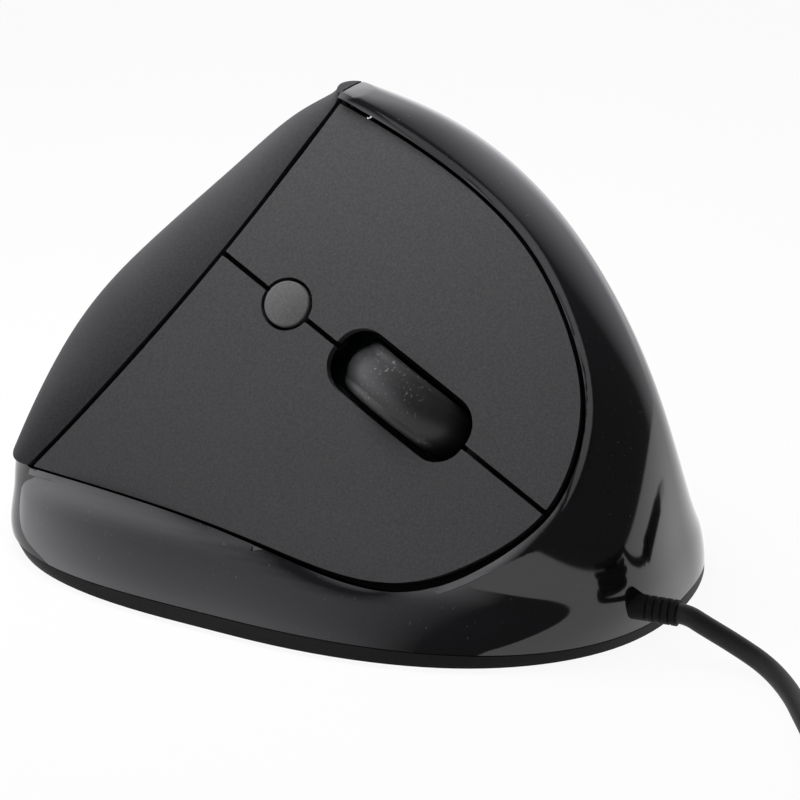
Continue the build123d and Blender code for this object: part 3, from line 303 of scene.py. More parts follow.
def hull_place(rows, params):
    """A point of the hull: x = middle + reach |cos|^(2/p), y = side + reach |sin|^(2/p) at row level t.

    Past the last row the section shrinks to its middle under a low dome, CAP_RISE (1 - (1 - s)^2).
    """
    top = len(rows) - 1
    row = natural_spline(rows, np.minimum(params[..., 0], top))
    shrink = np.clip(params[..., 0] - top, 0, 1)
    across, along = np.cos(params[..., 1]), np.sin(params[..., 1])
    height, middle_x, nose, heel, thumb_x, thumb_y, finger_x, finger_y = np.moveaxis(row[..., :8], -1, 0)
    thumb_front, thumb_back, finger_front, finger_back = np.moveaxis(row[..., 8:], -1, 0)
    finger, front = across >= 0, along >= 0
    power = np.where(
        finger, np.where(front, finger_front, finger_back), np.where(front, thumb_front, thumb_back)
    )
    side_y = np.where(finger, finger_y, thumb_y)
    reach_x = np.where(finger, finger_x - middle_x, middle_x - thumb_x)
    reach_y = np.where(front, nose - side_y, side_y - heel)
    x = middle_x + np.sign(across) * reach_x * np.abs(across) ** (2 / power)
    y = side_y + np.sign(along) * reach_y * np.abs(along) ** (2 / power)
    x += (rows[-1, 4:8:2].mean() - x) * shrink
    y += (rows[-1, 2:4].mean() - y) * shrink
    rise = CAP_RISE * (1 - (1 - shrink) ** 2)
    return np.stack([x * HALF_WIDTH, y * HALF_LENGTH, height * HEIGHT + rise], -1)


def inside_hull(points):
    """Whether each point lies inside the glossy hull: |x / reach|^p + |y / reach|^p < 1 at its height."""
    row = natural_spline(HULL_ROWS, level_at(HULL_ROWS, points[..., 2]))
    x, y = points[..., 0] / HALF_WIDTH - row[..., 1], points[..., 1] / HALF_LENGTH
    finger = x >= 0
    side_y = np.where(finger, row[..., 7], row[..., 5])
    front = y >= side_y
    reach_x = np.where(finger, row[..., 6] - row[..., 1], row[..., 1] - row[..., 4])
    reach_y = np.where(front, row[..., 2] - side_y, side_y - row[..., 3])
    power = np.where(
        finger, np.where(front, row[..., 10], row[..., 11]), np.where(front, row[..., 8], row[..., 9])
    )
    size = np.abs(x / reach_x) ** power + np.abs((y - side_y) / reach_y) ** power
    return (size < 1) & (points[..., 2] < HEIGHT * HULL_ROWS[-1, 0])


def level_at(rows, height):
    """The row level where the hull reaches a height."""
    levels = np.linspace(0, len(rows) - 1, LEVEL_SAMPLES)
    return np.interp(height, natural_spline(rows, levels)[:, 0] * HEIGHT, levels)


def share_place(shares):
    return np.array([shares[0] * HALF_WIDTH, shares[1] * HALF_LENGTH, shares[2] * HEIGHT])


FACE_MIDDLE = share_place(FACE_MIDDLE_SHARES)
RUN_WAY = share_place(FACE_AHEAD_SHARES) - FACE_MIDDLE
RISE_WAY = share_place(FACE_ABOVE_SHARES) - FACE_MIDDLE
RUN_UNIT, RISE_UNIT = np.linalg.norm(RUN_WAY), np.linalg.norm(RISE_WAY)
RUN = RUN_WAY / RUN_UNIT
OUT = np.cross(RUN_WAY, RISE_WAY)
OUT /= np.linalg.norm(OUT)
RISE = np.cross(OUT, RUN)


def face_coordinates(points):
    """Each point's run, rise and height over the crowned face."""
    away = points - FACE_MIDDLE
    rise = away @ RISE
    return away @ RUN, rise, away @ OUT + rise ** 2 / (2 * FACE_CROWN)


def face_place(run, rise, above=0.0):
    """A point over the crowned face: middle + run + rise + out (above - rise^2 / 2R)."""
    lift = above - rise ** 2 / (2 * FACE_CROWN)
    return FACE_MIDDLE + run[..., None] * RUN + rise[..., None] * RISE + lift[..., None] * OUT


def flat_place(run, rise, depth):
    """A point on the face plane's own axes, at a depth below it."""
    return FACE_MIDDLE + run * RUN + rise * RISE - depth * OUT


def seam_circle():
    """Middle and radius of the seam's arc through its two corners and its crest."""
    shares = np.array([BUTTON_SHARES[-1], SEAM_CREST_SHARES, BUTTON_SHARES[0]])
    points = shares * (RUN_UNIT, RISE_UNIT)
    left = 2 * (points[1:] - points[0])
    right = (points[1:] ** 2).sum(1) - (points[0] ** 2).sum()
    middle = np.linalg.solve(left, right)
    return middle, np.linalg.norm(points[0] - middle)


SEAM_MIDDLE, SEAM_RADIUS = seam_circle()


def ahead_of_seam(run, rise):
    """How far a point lies ahead of the seam."""
    return np.hypot(run - SEAM_MIDDLE[0], rise - SEAM_MIDDLE[1]) - SEAM_RADIUS


def outline(insets):
    """The buttons' outline, drawn in by an inset at each point, as a fine polygon closed behind the seam."""
    points = np.array(BUTTON_SHARES) * (RUN_UNIT, RISE_UNIT)
    way = np.vstack([points[1] - points[0], points[2:] - points[:-2], points[-1] - points[-2]])
    inward = np.stack([way[:, 1], -way[:, 0]], 1) / np.linalg.norm(way, axis=1)[:, None]
    moved = points + inward * np.asarray(insets, float)[:, None]
    return natural_spline(moved, np.linspace(0, len(moved) - 1, OUTLINE_STEPS * len(moved)))


def inside(polygon, run, rise):
    """Whether each point lies inside the outline, which is closed far behind the seam."""
    shape = np.vstack([polygon, polygon[-1] - (40, 0), polygon[0] - (40, 0)])
    result = np.zeros(run.shape, bool)
    for start, end in zip(shape, np.roll(shape, -1, 0)):
        crosses = (start[1] > rise) != (end[1] > rise)
        height = end[1] - start[1] if end[1] != start[1] else 1
        result ^= crosses & (run < start[0] + (rise - start[1]) * (end[0] - start[0]) / height)
    return result


def distance(polygon, run, rise):
    """Each point's distance from an open polygon."""
    best = np.full(run.shape, np.inf)
    for start, end in zip(polygon, polygon[1:]):
        way = end - start
        part = ((run - start[0]) * way[0] + (rise - start[1]) * way[1]) / (way @ way)
        part = np.clip(part, 0, 1)
        gap = np.hypot(run - start[0] - part * way[0], rise - start[1] - part * way[1])
        best = np.minimum(best, gap)
    return best


EVEN = np.zeros(len(BUTTON_SHARES))
FACE_OUTLINE = outline(EVEN)
BUTTON_OUTLINE = outline(BUTTON_GAPS)


def rounded_box(across, along, half_across, half_along, corner):
    """Signed distance from a rectangle with round corners."""
    x = np.abs(across) - half_across + corner
    y = np.abs(along) - half_along + corner
    outer = np.hypot(np.maximum(x, 0), np.maximum(y, 0))
    return outer + np.minimum(np.maximum(x, y), 0) - corner


def rim_drop(points):
    """The shell's rolled rim: lowered by drop (1 - distance / width)^2 beside the outline."""
    run, rise, above = face_coordinates(points)
    near = (ahead_of_seam(run, rise) > -1) & (above > -6)
    drop = np.zeros(run.shape)
    if near.any():
        share = 1 - distance(FACE_OUTLINE, run[near], rise[near]) / RIM_WIDTH
        most = np.clip(0.5 * above[near] + 0.15, 0.15, RIM_DROP)
        drop[near] = most * np.clip(share, 0, 1) ** 2
    return points - drop[..., None] * OUT


def snapped(params, place, keep):
    """A grid cut along a border: each dropped point beside a kept one moves to the border between them."""
    kept = keep(place(params))
    moved = params.copy()
    used = kept.copy()
    best = np.full(kept.shape, np.inf)
    for axis in (0, 1):
        for step in (1, -1):
            beside = np.roll(params, -step, axis)
            beside_kept = np.roll(kept, -step, axis)
            edge = [slice(None), slice(None)]
            edge[axis] = -1 if step == 1 else 0
            beside_kept[tuple(edge)] = False
            crossing = ~kept & beside_kept
            outer, inner = params[crossing], beside[crossing]
            for _ in range(BORDER_HALVINGS):
                middle = (outer + inner) / 2
                stays = keep(place(middle))[..., None]
                outer, inner = np.where(stays, outer, middle), np.where(stays, middle, inner)
            travel = np.abs(inner - params[crossing]).sum(-1) / np.abs(beside - params)[crossing].sum(-1)
            closer = travel < best[crossing]
            spots = np.argwhere(crossing)[closer]
            moved[spots[:, 0], spots[:, 1]] = inner[closer]
            best[spots[:, 0], spots[:, 1]] = travel[closer]
            used |= crossing
    return moved, used, kept


def make_object(name, points, faces):
    """A smooth mesh object in metres from points in millimetres."""
    mesh = bpy.data.meshes.new(name)
    mesh.from_pydata((np.asarray(points) * MM).tolist(), [], faces)
    work = bmesh.new()
    work.from_mesh(mesh)
    bmesh.ops.remove_doubles(work, verts=work.verts, dist=MERGE_DISTANCE)
    bmesh.ops.dissolve_degenerate(work, edges=work.edges, dist=LEAST_EDGE)
    loose = [vert for vert in work.verts if not vert.link_faces]
    bmesh.ops.delete(work, geom=loose, context="VERTS")
    work.to_mesh(mesh)
    work.free()
    mesh.shade_smooth()
    piece = bpy.data.objects.new(name, mesh)
    bpy.context.scene.collection.objects.link(piece)
    return piece


def grid_faces(count_rows, count_columns):
    """The four corners of every cell of a grid, as rows of point numbers."""
    number = np.arange(count_rows * count_columns).reshape(count_rows, count_columns)
    corners = number[:-1, :-1], number[:-1, 1:], number[1:, 1:], number[1:, :-1]
    return np.stack([corner.ravel() for corner in corners], 1)


def grid_object(name, points):
    """A whole grid of points as an object."""
    return make_object(name, points.reshape(-1, 3), grid_faces(*points.shape[:2]).tolist())


def cut_surface(name, params, place, keep, finish=None):
    """A surface grid cut along its border, as an object."""
    moved, used, kept = snapped(params, place, keep)
    points = place(moved)
    if finish:
        points = finish(points)
    faces = grid_faces(*params.shape[:2])
    use = used.ravel()[faces]
    touched = kept.ravel()[faces].any(1)
    whole = faces[use.all(1) & touched]
    partial = (use.sum(1) == 3) & touched
    thirds = faces[partial][use[partial]].reshape(-1, 3)
    return make_object(name, points.reshape(-1, 3), [*whole.tolist(), *thirds.tolist()])


def thicken(piece, thickness, edge=0.3):
    """Give a surface a wall on its inner side and rounded edges."""
    wall = piece.modifiers.new("wall", "SOLIDIFY")
    wall.thickness = thickness * MM
    wall.offset = -1
    wall.use_rim = True
    round_edges(piece, edge)


def round_edges(piece, edge):
    bevel = piece.modifiers.new("edges", "BEVEL")
    bevel.width = edge * MM
    bevel.segments = EDGE_SEGMENTS
    bevel.limit_method = "ANGLE"
    bevel.angle_limit = math.radians(EDGE_ANGLE_DEG)
    bevel.harden_normals = True


def revolve(name, profile, middle, axis, first, steps=128):
    """A profile of (radius, height) turned round an axis: middle + axis h + r (cos, sin)."""
    second = np.cross(axis, first)
    turns = np.linspace(0, 2 * math.pi, steps + 1)
    ring = np.cos(turns)[:, None] * first + np.sin(turns)[:, None] * second
    profile = np.asarray(profile, float)
    points = middle + profile[:, 1][:, None, None] * axis + profile[:, 0][:, None, None] * ring
    return grid_object(name, points)


def smoothing_tree():
    """Geometry nodes that merge a CAD mesh's corners and shade it smooth below an edge angle."""
    tree = bpy.data.node_groups.new("smooth_faces", "GeometryNodeTree")
    tree.interface.new_socket("Geometry", in_out="INPUT", socket_type="NodeSocketGeometry")
    tree.interface.new_socket("Geometry", in_out="OUTPUT", socket_type="NodeSocketGeometry")
    start = tree.nodes.new("NodeGroupInput")
    end = tree.nodes.new("NodeGroupOutput")
    merge = tree.nodes.new("GeometryNodeMergeByDistance")
    merge.inputs["Distance"].default_value = LEAST_EDGE
    smooth = tree.nodes.new("GeometryNodeSetShadeSmooth")
    sharp = tree.nodes.new("GeometryNodeSetShadeSmooth")
    sharp.domain = "EDGE"
    sharp.inputs["Shade Smooth"].default_value = False
    angle = tree.nodes.new("GeometryNodeInputMeshEdgeAngle")
    limit = tree.nodes.new("FunctionNodeCompare")
    limit.operation = "GREATER_THAN"
    limit.inputs[1].default_value = math.radians(SMOOTH_ANGLE_DEG)
    tree.links.new(start.outputs[0], merge.inputs[0])
    tree.links.new(merge.outputs[0], smooth.inputs[0])
    tree.links.new(smooth.outputs[0], sharp.inputs[0])
    tree.links.new(angle.outputs["Unsigned Angle"], limit.inputs[0])
    tree.links.new(limit.outputs[0], sharp.inputs["Selection"])
    tree.links.new(sharp.outputs[0], end.inputs[0])
    return tree


def smooth_node(tree, name):
    modifier = frame["nodes"][name].modifiers.new("smooth", "NODES")
    modifier.node_group = tree


def place_camera():
    """The camera stands where the photograph was taken from."""
    azimuth, elevation = math.radians(VIEW_AZIMUTH_DEG), math.radians(VIEW_ELEVATION_DEG)
    back = Vector((
        math.sin(azimuth) * math.cos(elevation),
        -math.cos(azimuth) * math.cos(elevation),
        math.sin(elevation),
    ))
    data = bpy.data.cameras.new("camera")
    data.sensor_width = SENSOR_MM
    data.lens = VIEW_FOCAL_PIXELS * SENSOR_MM / VIEW_PIXELS
    data.shift_x = (VIEW_PIXELS / 2 - VIEW_MIDDLE_PIXEL) / VIEW_PIXELS
    data.clip_start = 0.01
    camera = bpy.data.objects.new("camera", data)
    place = (Vector(VIEW_TARGET) + back * VIEW_DISTANCE) * MM
    camera.matrix_world = Matrix.Translation(place) @ back.to_track_quat("Z", "Y").to_matrix().to_4x4()
    bpy.context.scene.collection.objects.link(camera)
    bpy.context.scene.camera = camera


def coil_points():
    """The coil's control points: in and out again in layers, climbing in the half turn between them."""
    middle = np.array(COIL_MIDDLE)
    wide = 1 / math.cos(math.pi / COIL_POINTS_PER_HALF / 2)
    radius, height, angle = COIL_OUTER_R, COIL_FLOOR + CORD_DIAMETER / 2, math.radians(COIL_TURN_DEG)
    points = []
    for layer in range(COIL_LAYERS):
        inward = -1 if layer % 2 == 0 else 1
        moves = [(inward * COIL_STEP / 2, 0.0)] * COIL_HALF_TURNS
        if layer < COIL_LAYERS - 1:
            moves.append((0.0, COIL_STEP))
        for widen, climb in moves:
            for number in range(COIL_POINTS_PER_HALF):
                share = (number + 0.5) / COIL_POINTS_PER_HALF
                turn = angle + math.pi * share
                rise = climb * (1 - math.cos(math.pi * share)) / 2
                reach = (radius + widen * share) * wide
                spot = middle + reach * np.array([math.cos(turn), math.sin(turn)])
                points.append((spot[0], spot[1], height + rise))
            radius += widen
            height += climb
            angle += math.pi
    return points


def coil_ends():
    """The straight stubs at the coil's start and end, one and a half diameters long."""
    turn = math.radians(COIL_TURN_DEG)
    middle = np.array(COIL_MIDDLE)
    out = np.array([math.cos(turn), math.sin(turn)])
    way = np.array([-math.sin(turn), math.cos(turn)])
    low = COIL_FLOOR + CORD_DIAMETER / 2
    high = low + COIL_STEP * (COIL_LAYERS - 1)
    starts = [middle + out * COIL_OUTER_R - way * CORD_DIAMETER * share for share in (1.5, 1)]
    ends = [middle - out * COIL_OUTER_R - way * CORD_DIAMETER * share for share in (1, 1.5)]
    return [(*place, low) for place in starts], [(*place, high) for place in ends]


def boot_place(along):
    """A point on the boot's axis."""
    aim = np.array(CORD_AIM) / np.linalg.norm(CORD_AIM)
    return tuple(np.array(CORD_EXIT) + aim * along)


def make_cord():
    """The whole cord from its boot to its plug, as one smooth line whose points carry its radius."""
    starts, ends = coil_ends()
    route = [
        boot_place(BOOT_LENGTH), boot_place(BOOT_LENGTH + CORD_DIAMETER / 2), *LEAD_POINTS,
        *starts, *coil_points(), *ends, *TAIL_POINTS,
    ]
    data = bpy.data.curves.new("cord", "CURVE")
    data.dimensions = "3D"
    data.bevel_depth = 1
    data.bevel_resolution = CORD_ROUNDNESS
    data.resolution_u = CORD_STEPS
    data.use_fill_caps = True
    spline = data.splines.new("NURBS")
    spline.points.add(len(route) - 1)
    for point, place in zip(spline.points, route):
        point.co = (*(np.array(place) * MM), 1)
        point.radius = CORD_DIAMETER / 2 * MM
    spline.order_u = 3
    spline.use_endpoint_u = True
    cord = bpy.data.objects.new("cord", data)
    bpy.context.scene.collection.objects.link(cord)
    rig.ride(cord, "base")
    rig.replaces(cord, "cord_lead", "cord_coil", "cord_tail")
    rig.slot(cord, "cord_rubber")
    return cord


def thumb_hole(points, grown):
    """Signed distance of each point from the nearer thumb button's outline, on the thumb side."""
    step = (THUMB_LENGTH + THUMB_SPACE) / 2
    gaps = [
        rounded_box(points[..., 1] - THUMB_MIDDLE - side * step, points[..., 2] - THUMB_HEIGHT,
                    THUMB_LENGTH / 2 + grown, THUMB_TALL / 2 + grown, THUMB_CORNER + grown)
        for side in (-1, 1)
    ]
    return np.where(points[..., 0] < -10, np.minimum(*gaps), 100)


def glossy_shell():
    """The piano-black shell in front of the seam, with the skirt all round."""
    def place(params):
        return hull_place(HULL_ROWS, params)

    def keep(points):
        run, rise, above = face_coordinates(points)
        window = inside(FACE_OUTLINE, run, rise) & (above > -12) & (ahead_of_seam(run, rise) > -2)
        front = (ahead_of_seam(run, rise) > 0) | (points[..., 2] < SKIRT_TOP)
        return front & ~window & (thumb_hole(points, THUMB_GAP) > 0)

    low, skirt = level_at(HULL_ROWS, PLATE_TOP + 0.15), level_at(HULL_ROWS, SKIRT_TOP)
    top = len(HULL_ROWS)
    levels = np.concatenate([np.linspace(low, skirt, SKIRT_ROWS), np.linspace(skirt, top, SHELL_ROWS)[1:]])
    turns = np.linspace(0, 2 * math.pi, HULL_COLUMNS)
    params = np.stack(np.meshgrid(levels, turns, indexing="ij"), -1)
    piece = cut_surface("glossy_shell_skin", params, place, keep, rim_drop)
    thicken(piece, WALL, 0.3)
    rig.ride(piece, "base")
    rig.replaces(piece, "glossy_shell")
    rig.slot(piece, "gloss_shell")
    return piece


def well_wall():
    """The wall of the well round the buttons, from the shell's rim down beside the outline."""
    run, rise = FACE_OUTLINE.T
    low, high = np.full(run.shape, -5.0), np.full(run.shape, 14.0)
    for _ in range(RIM_HALVINGS):
        middle = (low + high) / 2
        within = inside_hull(face_place(run, rise, middle))
        low, high = np.where(within, middle, low), np.where(within, high, middle)
    rim = rim_drop(face_place(run, rise, low))
    _, _, height = face_coordinates(rim)
    shares = np.linspace(0, 1, 8)[:, None]
    depth = height + (-WELL_DEPTH - height) * shares
    piece = grid_object("well_wall_strip", face_place(run + 0 * depth, rise + 0 * depth, depth)[:, ::-1])
    thicken(piece, WALL * 0.6, 0.1)
    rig.ride(piece, "base")
    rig.slot(piece, "gloss_shell")
    return piece


def palm_cover():
    """The matt cover behind the seam."""
    def place(params):
        return hull_place(PALM_ROWS, params)

    def keep(points):
        run, rise, above = face_coordinates(points)
        return (ahead_of_seam(run, rise) < -SEAM_GAP) & (points[..., 2] > SKIRT_TOP + 0.1)

    levels = np.linspace(level_at(PALM_ROWS, SKIRT_TOP) - 0.05, len(PALM_ROWS), PALM_GRID_ROWS)
    turns = np.linspace(0, 2 * math.pi, HULL_COLUMNS)
    params = np.stack(np.meshgrid(levels, turns, indexing="ij"), -1)
    piece = cut_surface("palm_cover_skin", params, place, keep)
    thicken(piece, WALL, 0.3)
    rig.ride(piece, "base")
    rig.replaces(piece, "palm_cover")
    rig.slot(piece, "matt_cover")
    return piece


def button_panel(name, side):
    """One button: the face between the split and the outline, with its share of the slot and the hole."""
    def place(params):
        return face_place(params[..., 0], params[..., 1])

    def keep(points):
        run, rise, _ = face_coordinates(points)
        shape = inside(BUTTON_OUTLINE, run, rise) & (ahead_of_seam(run, rise) > BUTTON_REAR_GAP)
        slot = rounded_box(run, rise, SLOT_LENGTH / 2, SLOT_WIDTH / 2, SLOT_CORNER) < 0
        hole = np.hypot(run - SPEED_RUN, rise) < SPEED_HOLE_R
        return shape & (side * rise > SPLIT_GAP / 2) & ~slot & ~hole

    runs = np.linspace(-50, 36, BUTTON_GRID[0])
    rises = np.linspace(0, 52, BUTTON_GRID[1]) * side
    params = np.stack(np.meshgrid(runs, rises, indexing="ij"), -1)
    if side < 0:
        params = params[::-1]
    piece = cut_surface(name + "_panel", params[:, ::-1], place, keep)
    thicken(piece, BUTTON_THICKNESS, 0.35)
    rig.ride(piece, name)
    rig.replaces(piece, name)
    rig.slot(piece, "button_plastic")
    return piece


def thumb_button(name, side):
    """A raised key on the thumb side: the hull's surface moved out, inside a rounded rectangle."""
    middle = THUMB_MIDDLE + side * (THUMB_LENGTH + THUMB_SPACE) / 2

    def place(params):
        level = level_at(HULL_ROWS, params[..., 1])
        row = natural_spline(HULL_ROWS, level)
        thumb_y = row[..., 5] * HALF_LENGTH
        front = params[..., 0] >= thumb_y
        reach_y = np.where(front, row[..., 2] * HALF_LENGTH - thumb_y, thumb_y - row[..., 3] * HALF_LENGTH)
        power = np.where(front, row[..., 8], row[..., 9])
        share = np.clip(np.abs((params[..., 0] - thumb_y) / reach_y), 0, 1)
        reach_x = (row[..., 1] - row[..., 4]) * HALF_WIDTH
        x = row[..., 1] * HALF_WIDTH - reach_x * (1 - share ** power) ** (1 / power) - THUMB_PROUD
        return np.stack([x, params[..., 0], params[..., 1]], -1)

    def keep(points):
        along, up = points[..., 1] - middle, points[..., 2] - THUMB_HEIGHT
        return rounded_box(along, up, THUMB_LENGTH / 2, THUMB_TALL / 2, THUMB_CORNER) < 0

    spare = 0.3
    half_along, half_up = THUMB_LENGTH / 2 + spare, THUMB_TALL / 2 + spare
    alongs = np.linspace(middle - half_along, middle + half_along, THUMB_GRID[0])
    ups = np.linspace(THUMB_HEIGHT - half_up, THUMB_HEIGHT + half_up, THUMB_GRID[1])
    params = np.stack(np.meshgrid(alongs, ups, indexing="ij"), -1)
    piece = cut_surface(name + "_key", params, place, keep)
    thicken(piece, 3.0, 0.5)
    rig.ride(piece, name)
    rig.replaces(piece, name)
    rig.slot(piece, "button_plastic")
    return piece


def wheel_tyre():
    """The smooth crowned rubber tyre: a flat arc across with round shoulders."""
    half = WHEEL_WIDTH / 2
    inner = WHEEL_R - TYRE_THICKNESS
    shoulder = WHEEL_R - TYRE_CROWN
    across = np.linspace(-1, 1, 25)
    crown = [(shoulder + TYRE_CROWN * (1 - (share * share)), share * (half - TYRE_LIP)) for share in across]
    turns = np.linspace(0, math.pi / 2, 9)[:-1]
    left = [(shoulder - TYRE_LIP + TYRE_LIP * math.sin(turn), -half + TYRE_LIP * (1 - math.cos(turn)))
            for turn in turns]
    right = [(radius, -height) for radius, height in left[::-1]]
    profile = [(inner, -half), *left, *crown, *right, (inner, half), (inner, -half)]
    piece = revolve("wheel_tyre_ring", profile, flat_place(0, 0, WHEEL_DEPTH), RISE, OUT)
    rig.ride(piece, "wheel")
    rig.replaces(piece, "wheel_tyre")
    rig.slot(piece, "wheel_rubber")
    return piece


def speed_button():
    """The round domed cap: h = proud - dome (r / R)^2, with a rounded edge."""
    edge = 0.35
    shares = np.linspace(0, 1, 14)
    flat = SPEED_R - edge
    dome = [(flat * share, SPEED_PROUD - SPEED_DOME * (flat * share / SPEED_R) ** 2) for share in shares]
    turns = np.linspace(0, math.pi / 2, 7)[1:]
    shoulder = dome[-1][1]
    corner = [(flat + edge * math.sin(turn), shoulder - edge * (1 - math.cos(turn))) for turn in turns]
    profile = [*dome, *corner, (SPEED_R, -SPEED_SINK)][::-1]
    piece = revolve("speed_button_cap", profile, flat_place(SPEED_RUN, 0, 0), OUT, RUN, 96)
    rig.ride(piece, "speed_button")
    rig.replaces(piece, "speed_button")
    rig.slot(piece, "button_plastic")
    return piece


def link(tree, start, end):
    tree.links.new(start, end)


def new_material(name):
    material = bpy.data.materials.new(name)
    material.use_nodes = True
    return material, material.node_tree, material.node_tree.nodes["Principled BSDF"]


def noise(tree, scale, detail=2.0, roughness=0.5):
    place = tree.nodes.new("ShaderNodeTexCoord")
    texture = tree.nodes.new("ShaderNodeTexNoise")
    texture.inputs["Scale"].default_value = scale
    texture.inputs["Detail"].default_value = detail
    texture.inputs["Roughness"].default_value = roughness
    link(tree, place.outputs["Object"], texture.inputs["Vector"])
    return texture.outputs["Fac"]


def ramp(tree, value, low, high, start, end):
    """A value from one range mapped to another."""
    node = tree.nodes.new("ShaderNodeMapRange")
    for number, amount in enumerate((low, high, start, end)):
        node.inputs[number + 1].default_value = amount
    link(tree, value, node.inputs[0])
    return node.outputs[0]


def bump(tree, shader, height, strength, depth):
    node = tree.nodes.new("ShaderNodeBump")
    node.inputs["Strength"].default_value = strength
    node.inputs["Distance"].default_value = depth
    link(tree, height, node.inputs["Height"])
    link(tree, node.outputs["Normal"], shader.inputs["Normal"])


def mix_colour(tree, factor, first, second):
    node = tree.nodes.new("ShaderNodeMix")
    node.data_type = "RGBA"
    node.inputs[6].default_value = (*first, 1)
    node.inputs[7].default_value = (*second, 1)
    link(tree, factor, node.inputs[0])
    return node.outputs[2]


def grained_plastic(name, colour, lighter, rough, grain=2600.0, depth=0.00002, sheen=0.4):
    """Matt moulded plastic: a fine grain in height and colour, a slow drift in gloss."""
    material, tree, shader = new_material(name)
    fine = noise(tree, grain, 3.0, 0.6)
    slow = noise(tree, 45.0, 2.0)
    speck = ramp(tree, fine, 0.35, 0.65, 0, 1)
    link(tree, mix_colour(tree, speck, colour, lighter), shader.inputs["Base Color"])
    link(tree, ramp(tree, slow, 0.3, 0.7, rough - 0.05, rough + 0.05), shader.inputs["Roughness"])
    shader.inputs["Specular IOR Level"].default_value = sheen
    bump(tree, shader, fine, 0.35, depth)
    return material


def gloss_plastic():
    """Piano-black plastic with a faint waviness and a little dust."""
    material, tree, shader = new_material("gloss_black")
    slow = noise(tree, 30.0, 3.0)
    dust = ramp(tree, noise(tree, 1500.0, 1.0), 0.72, 0.78, 0, 0.25)
    link(tree, mix_colour(tree, dust, (0.006, 0.006, 0.007), (0.12, 0.12, 0.12)), shader.inputs["Base Color"])
    link(tree, ramp(tree, slow, 0.3, 0.7, 0.04, 0.09), shader.inputs["Roughness"])
    bump(tree, shader, slow, 0.04, 0.0003)
    return material


def wheel_rubber():
    """Smooth rubber with pale dust specks."""
    material, tree, shader = new_material("wheel_rubber")
    patch = ramp(tree, noise(tree, 160.0, 2.0), 0.45, 0.7, 0, 1)
    speck = ramp(tree, noise(tree, 2300.0, 0.0), 0.68, 0.76, 0, 1)
    product = tree.nodes.new("ShaderNodeMath")
    product.operation = "MULTIPLY"
    link(tree, patch, product.inputs[0])
    link(tree, speck, product.inputs[1])
    colour = mix_colour(tree, product.outputs[0], (0.020, 0.020, 0.021), (0.12, 0.12, 0.12))
    link(tree, colour, shader.inputs["Base Color"])
    shader.inputs["Roughness"].default_value = 0.42
    shader.inputs["Specular IOR Level"].default_value = 0.3
    bump(tree, shader, noise(tree, 1800.0, 3.0), 0.25, 0.00003)
    return material


def metal(name, colour, rough, grain=900.0):
    material, tree, shader = new_material(name)
    fine = noise(tree, grain, 4.0, 0.7)
    link(tree, ramp(tree, fine, 0.3, 0.7, rough - 0.06, rough + 0.06), shader.inputs["Roughness"])
    shader.inputs["Metallic"].default_value = 1.0
    shader.inputs["Base Color"].default_value = (*colour, 1)
    bump(tree, shader, fine, 0.1, 0.00002)
    return material


def clear(name, colour):
    material, tree, shader = new_material(name)
    shader.inputs["Base Color"].default_value = (*colour, 1)
    shader.inputs["Transmission Weight"].default_value = 0.9
    link(tree, ramp(tree, noise(tree, 200.0), 0.3, 0.7, 0.05, 0.12), shader.inputs["Roughness"])
    return material


def paint(piece, material):
    piece.data.materials.clear()
    piece.data.materials.append(material)


def paint_node(name, material):
    node = frame["nodes"][name]
    if not node.material_slots:
        node.data.materials.append(material)
    for place in node.material_slots:
        place.material = material


def make_materials():
    return {
        "gloss": gloss_plastic(),
        "palm": grained_plastic("palm_matt", (0.026, 0.026, 0.028), (0.037, 0.037, 0.039), 0.6, sheen=0.05),
        "button": grained_plastic(
            "button_matt", (0.046, 0.046, 0.048), (0.064, 0.064, 0.066), 0.55, sheen=0.12
        ),
        "speed": grained_plastic("speed_matt", (0.085, 0.085, 0.087), (0.11, 0.11, 0.112), 0.5, sheen=0.2),
        "key": grained_plastic("key_matt", (0.02, 0.02, 0.021), (0.03, 0.03, 0.031), 0.4),
        "base": grained_plastic("base_matt", (0.008, 0.008, 0.008), (0.012, 0.012, 0.012), 0.55, sheen=0.1),
        "inner": grained_plastic(
            "inner_moulded", (0.004, 0.004, 0.004), (0.007, 0.007, 0.007), 0.65, sheen=0.05
        ),
        "tyre": wheel_rubber(),
        "cord": grained_plastic(
            "cord_skin", (0.007, 0.007, 0.007), (0.011, 0.011, 0.011), 0.6, 3200.0, sheen=0.2
        ),
        "boot": grained_plastic(
            "boot_skin", (0.004, 0.004, 0.004), (0.007, 0.007, 0.007), 0.65, 1500.0, 0.00006, sheen=0.08
        ),
        "board": grained_plastic("board_mask", (0.01, 0.06, 0.03), (0.014, 0.08, 0.04), 0.35, 700.0),
        "plunger": grained_plastic("plunger_moulded", (0.3, 0.03, 0.02), (0.34, 0.04, 0.03), 0.45),
        "foot": grained_plastic("foot_slide", (0.02, 0.02, 0.02), (0.03, 0.03, 0.03), 0.35, 900.0),
        "ribbon": grained_plastic("ribbon_film", (0.5, 0.5, 0.45), (0.55, 0.55, 0.5), 0.4, 600.0),
        "steel": metal("pin_steel", (0.55, 0.55, 0.56), 0.3),
        "nickel": metal("plug_nickel", (0.72, 0.72, 0.70), 0.22),
        "lens": clear("lens_clear", (0.95, 0.95, 0.95)),
        "lamp": clear("lamp_clear", (0.9, 0.3, 0.3)),
    }


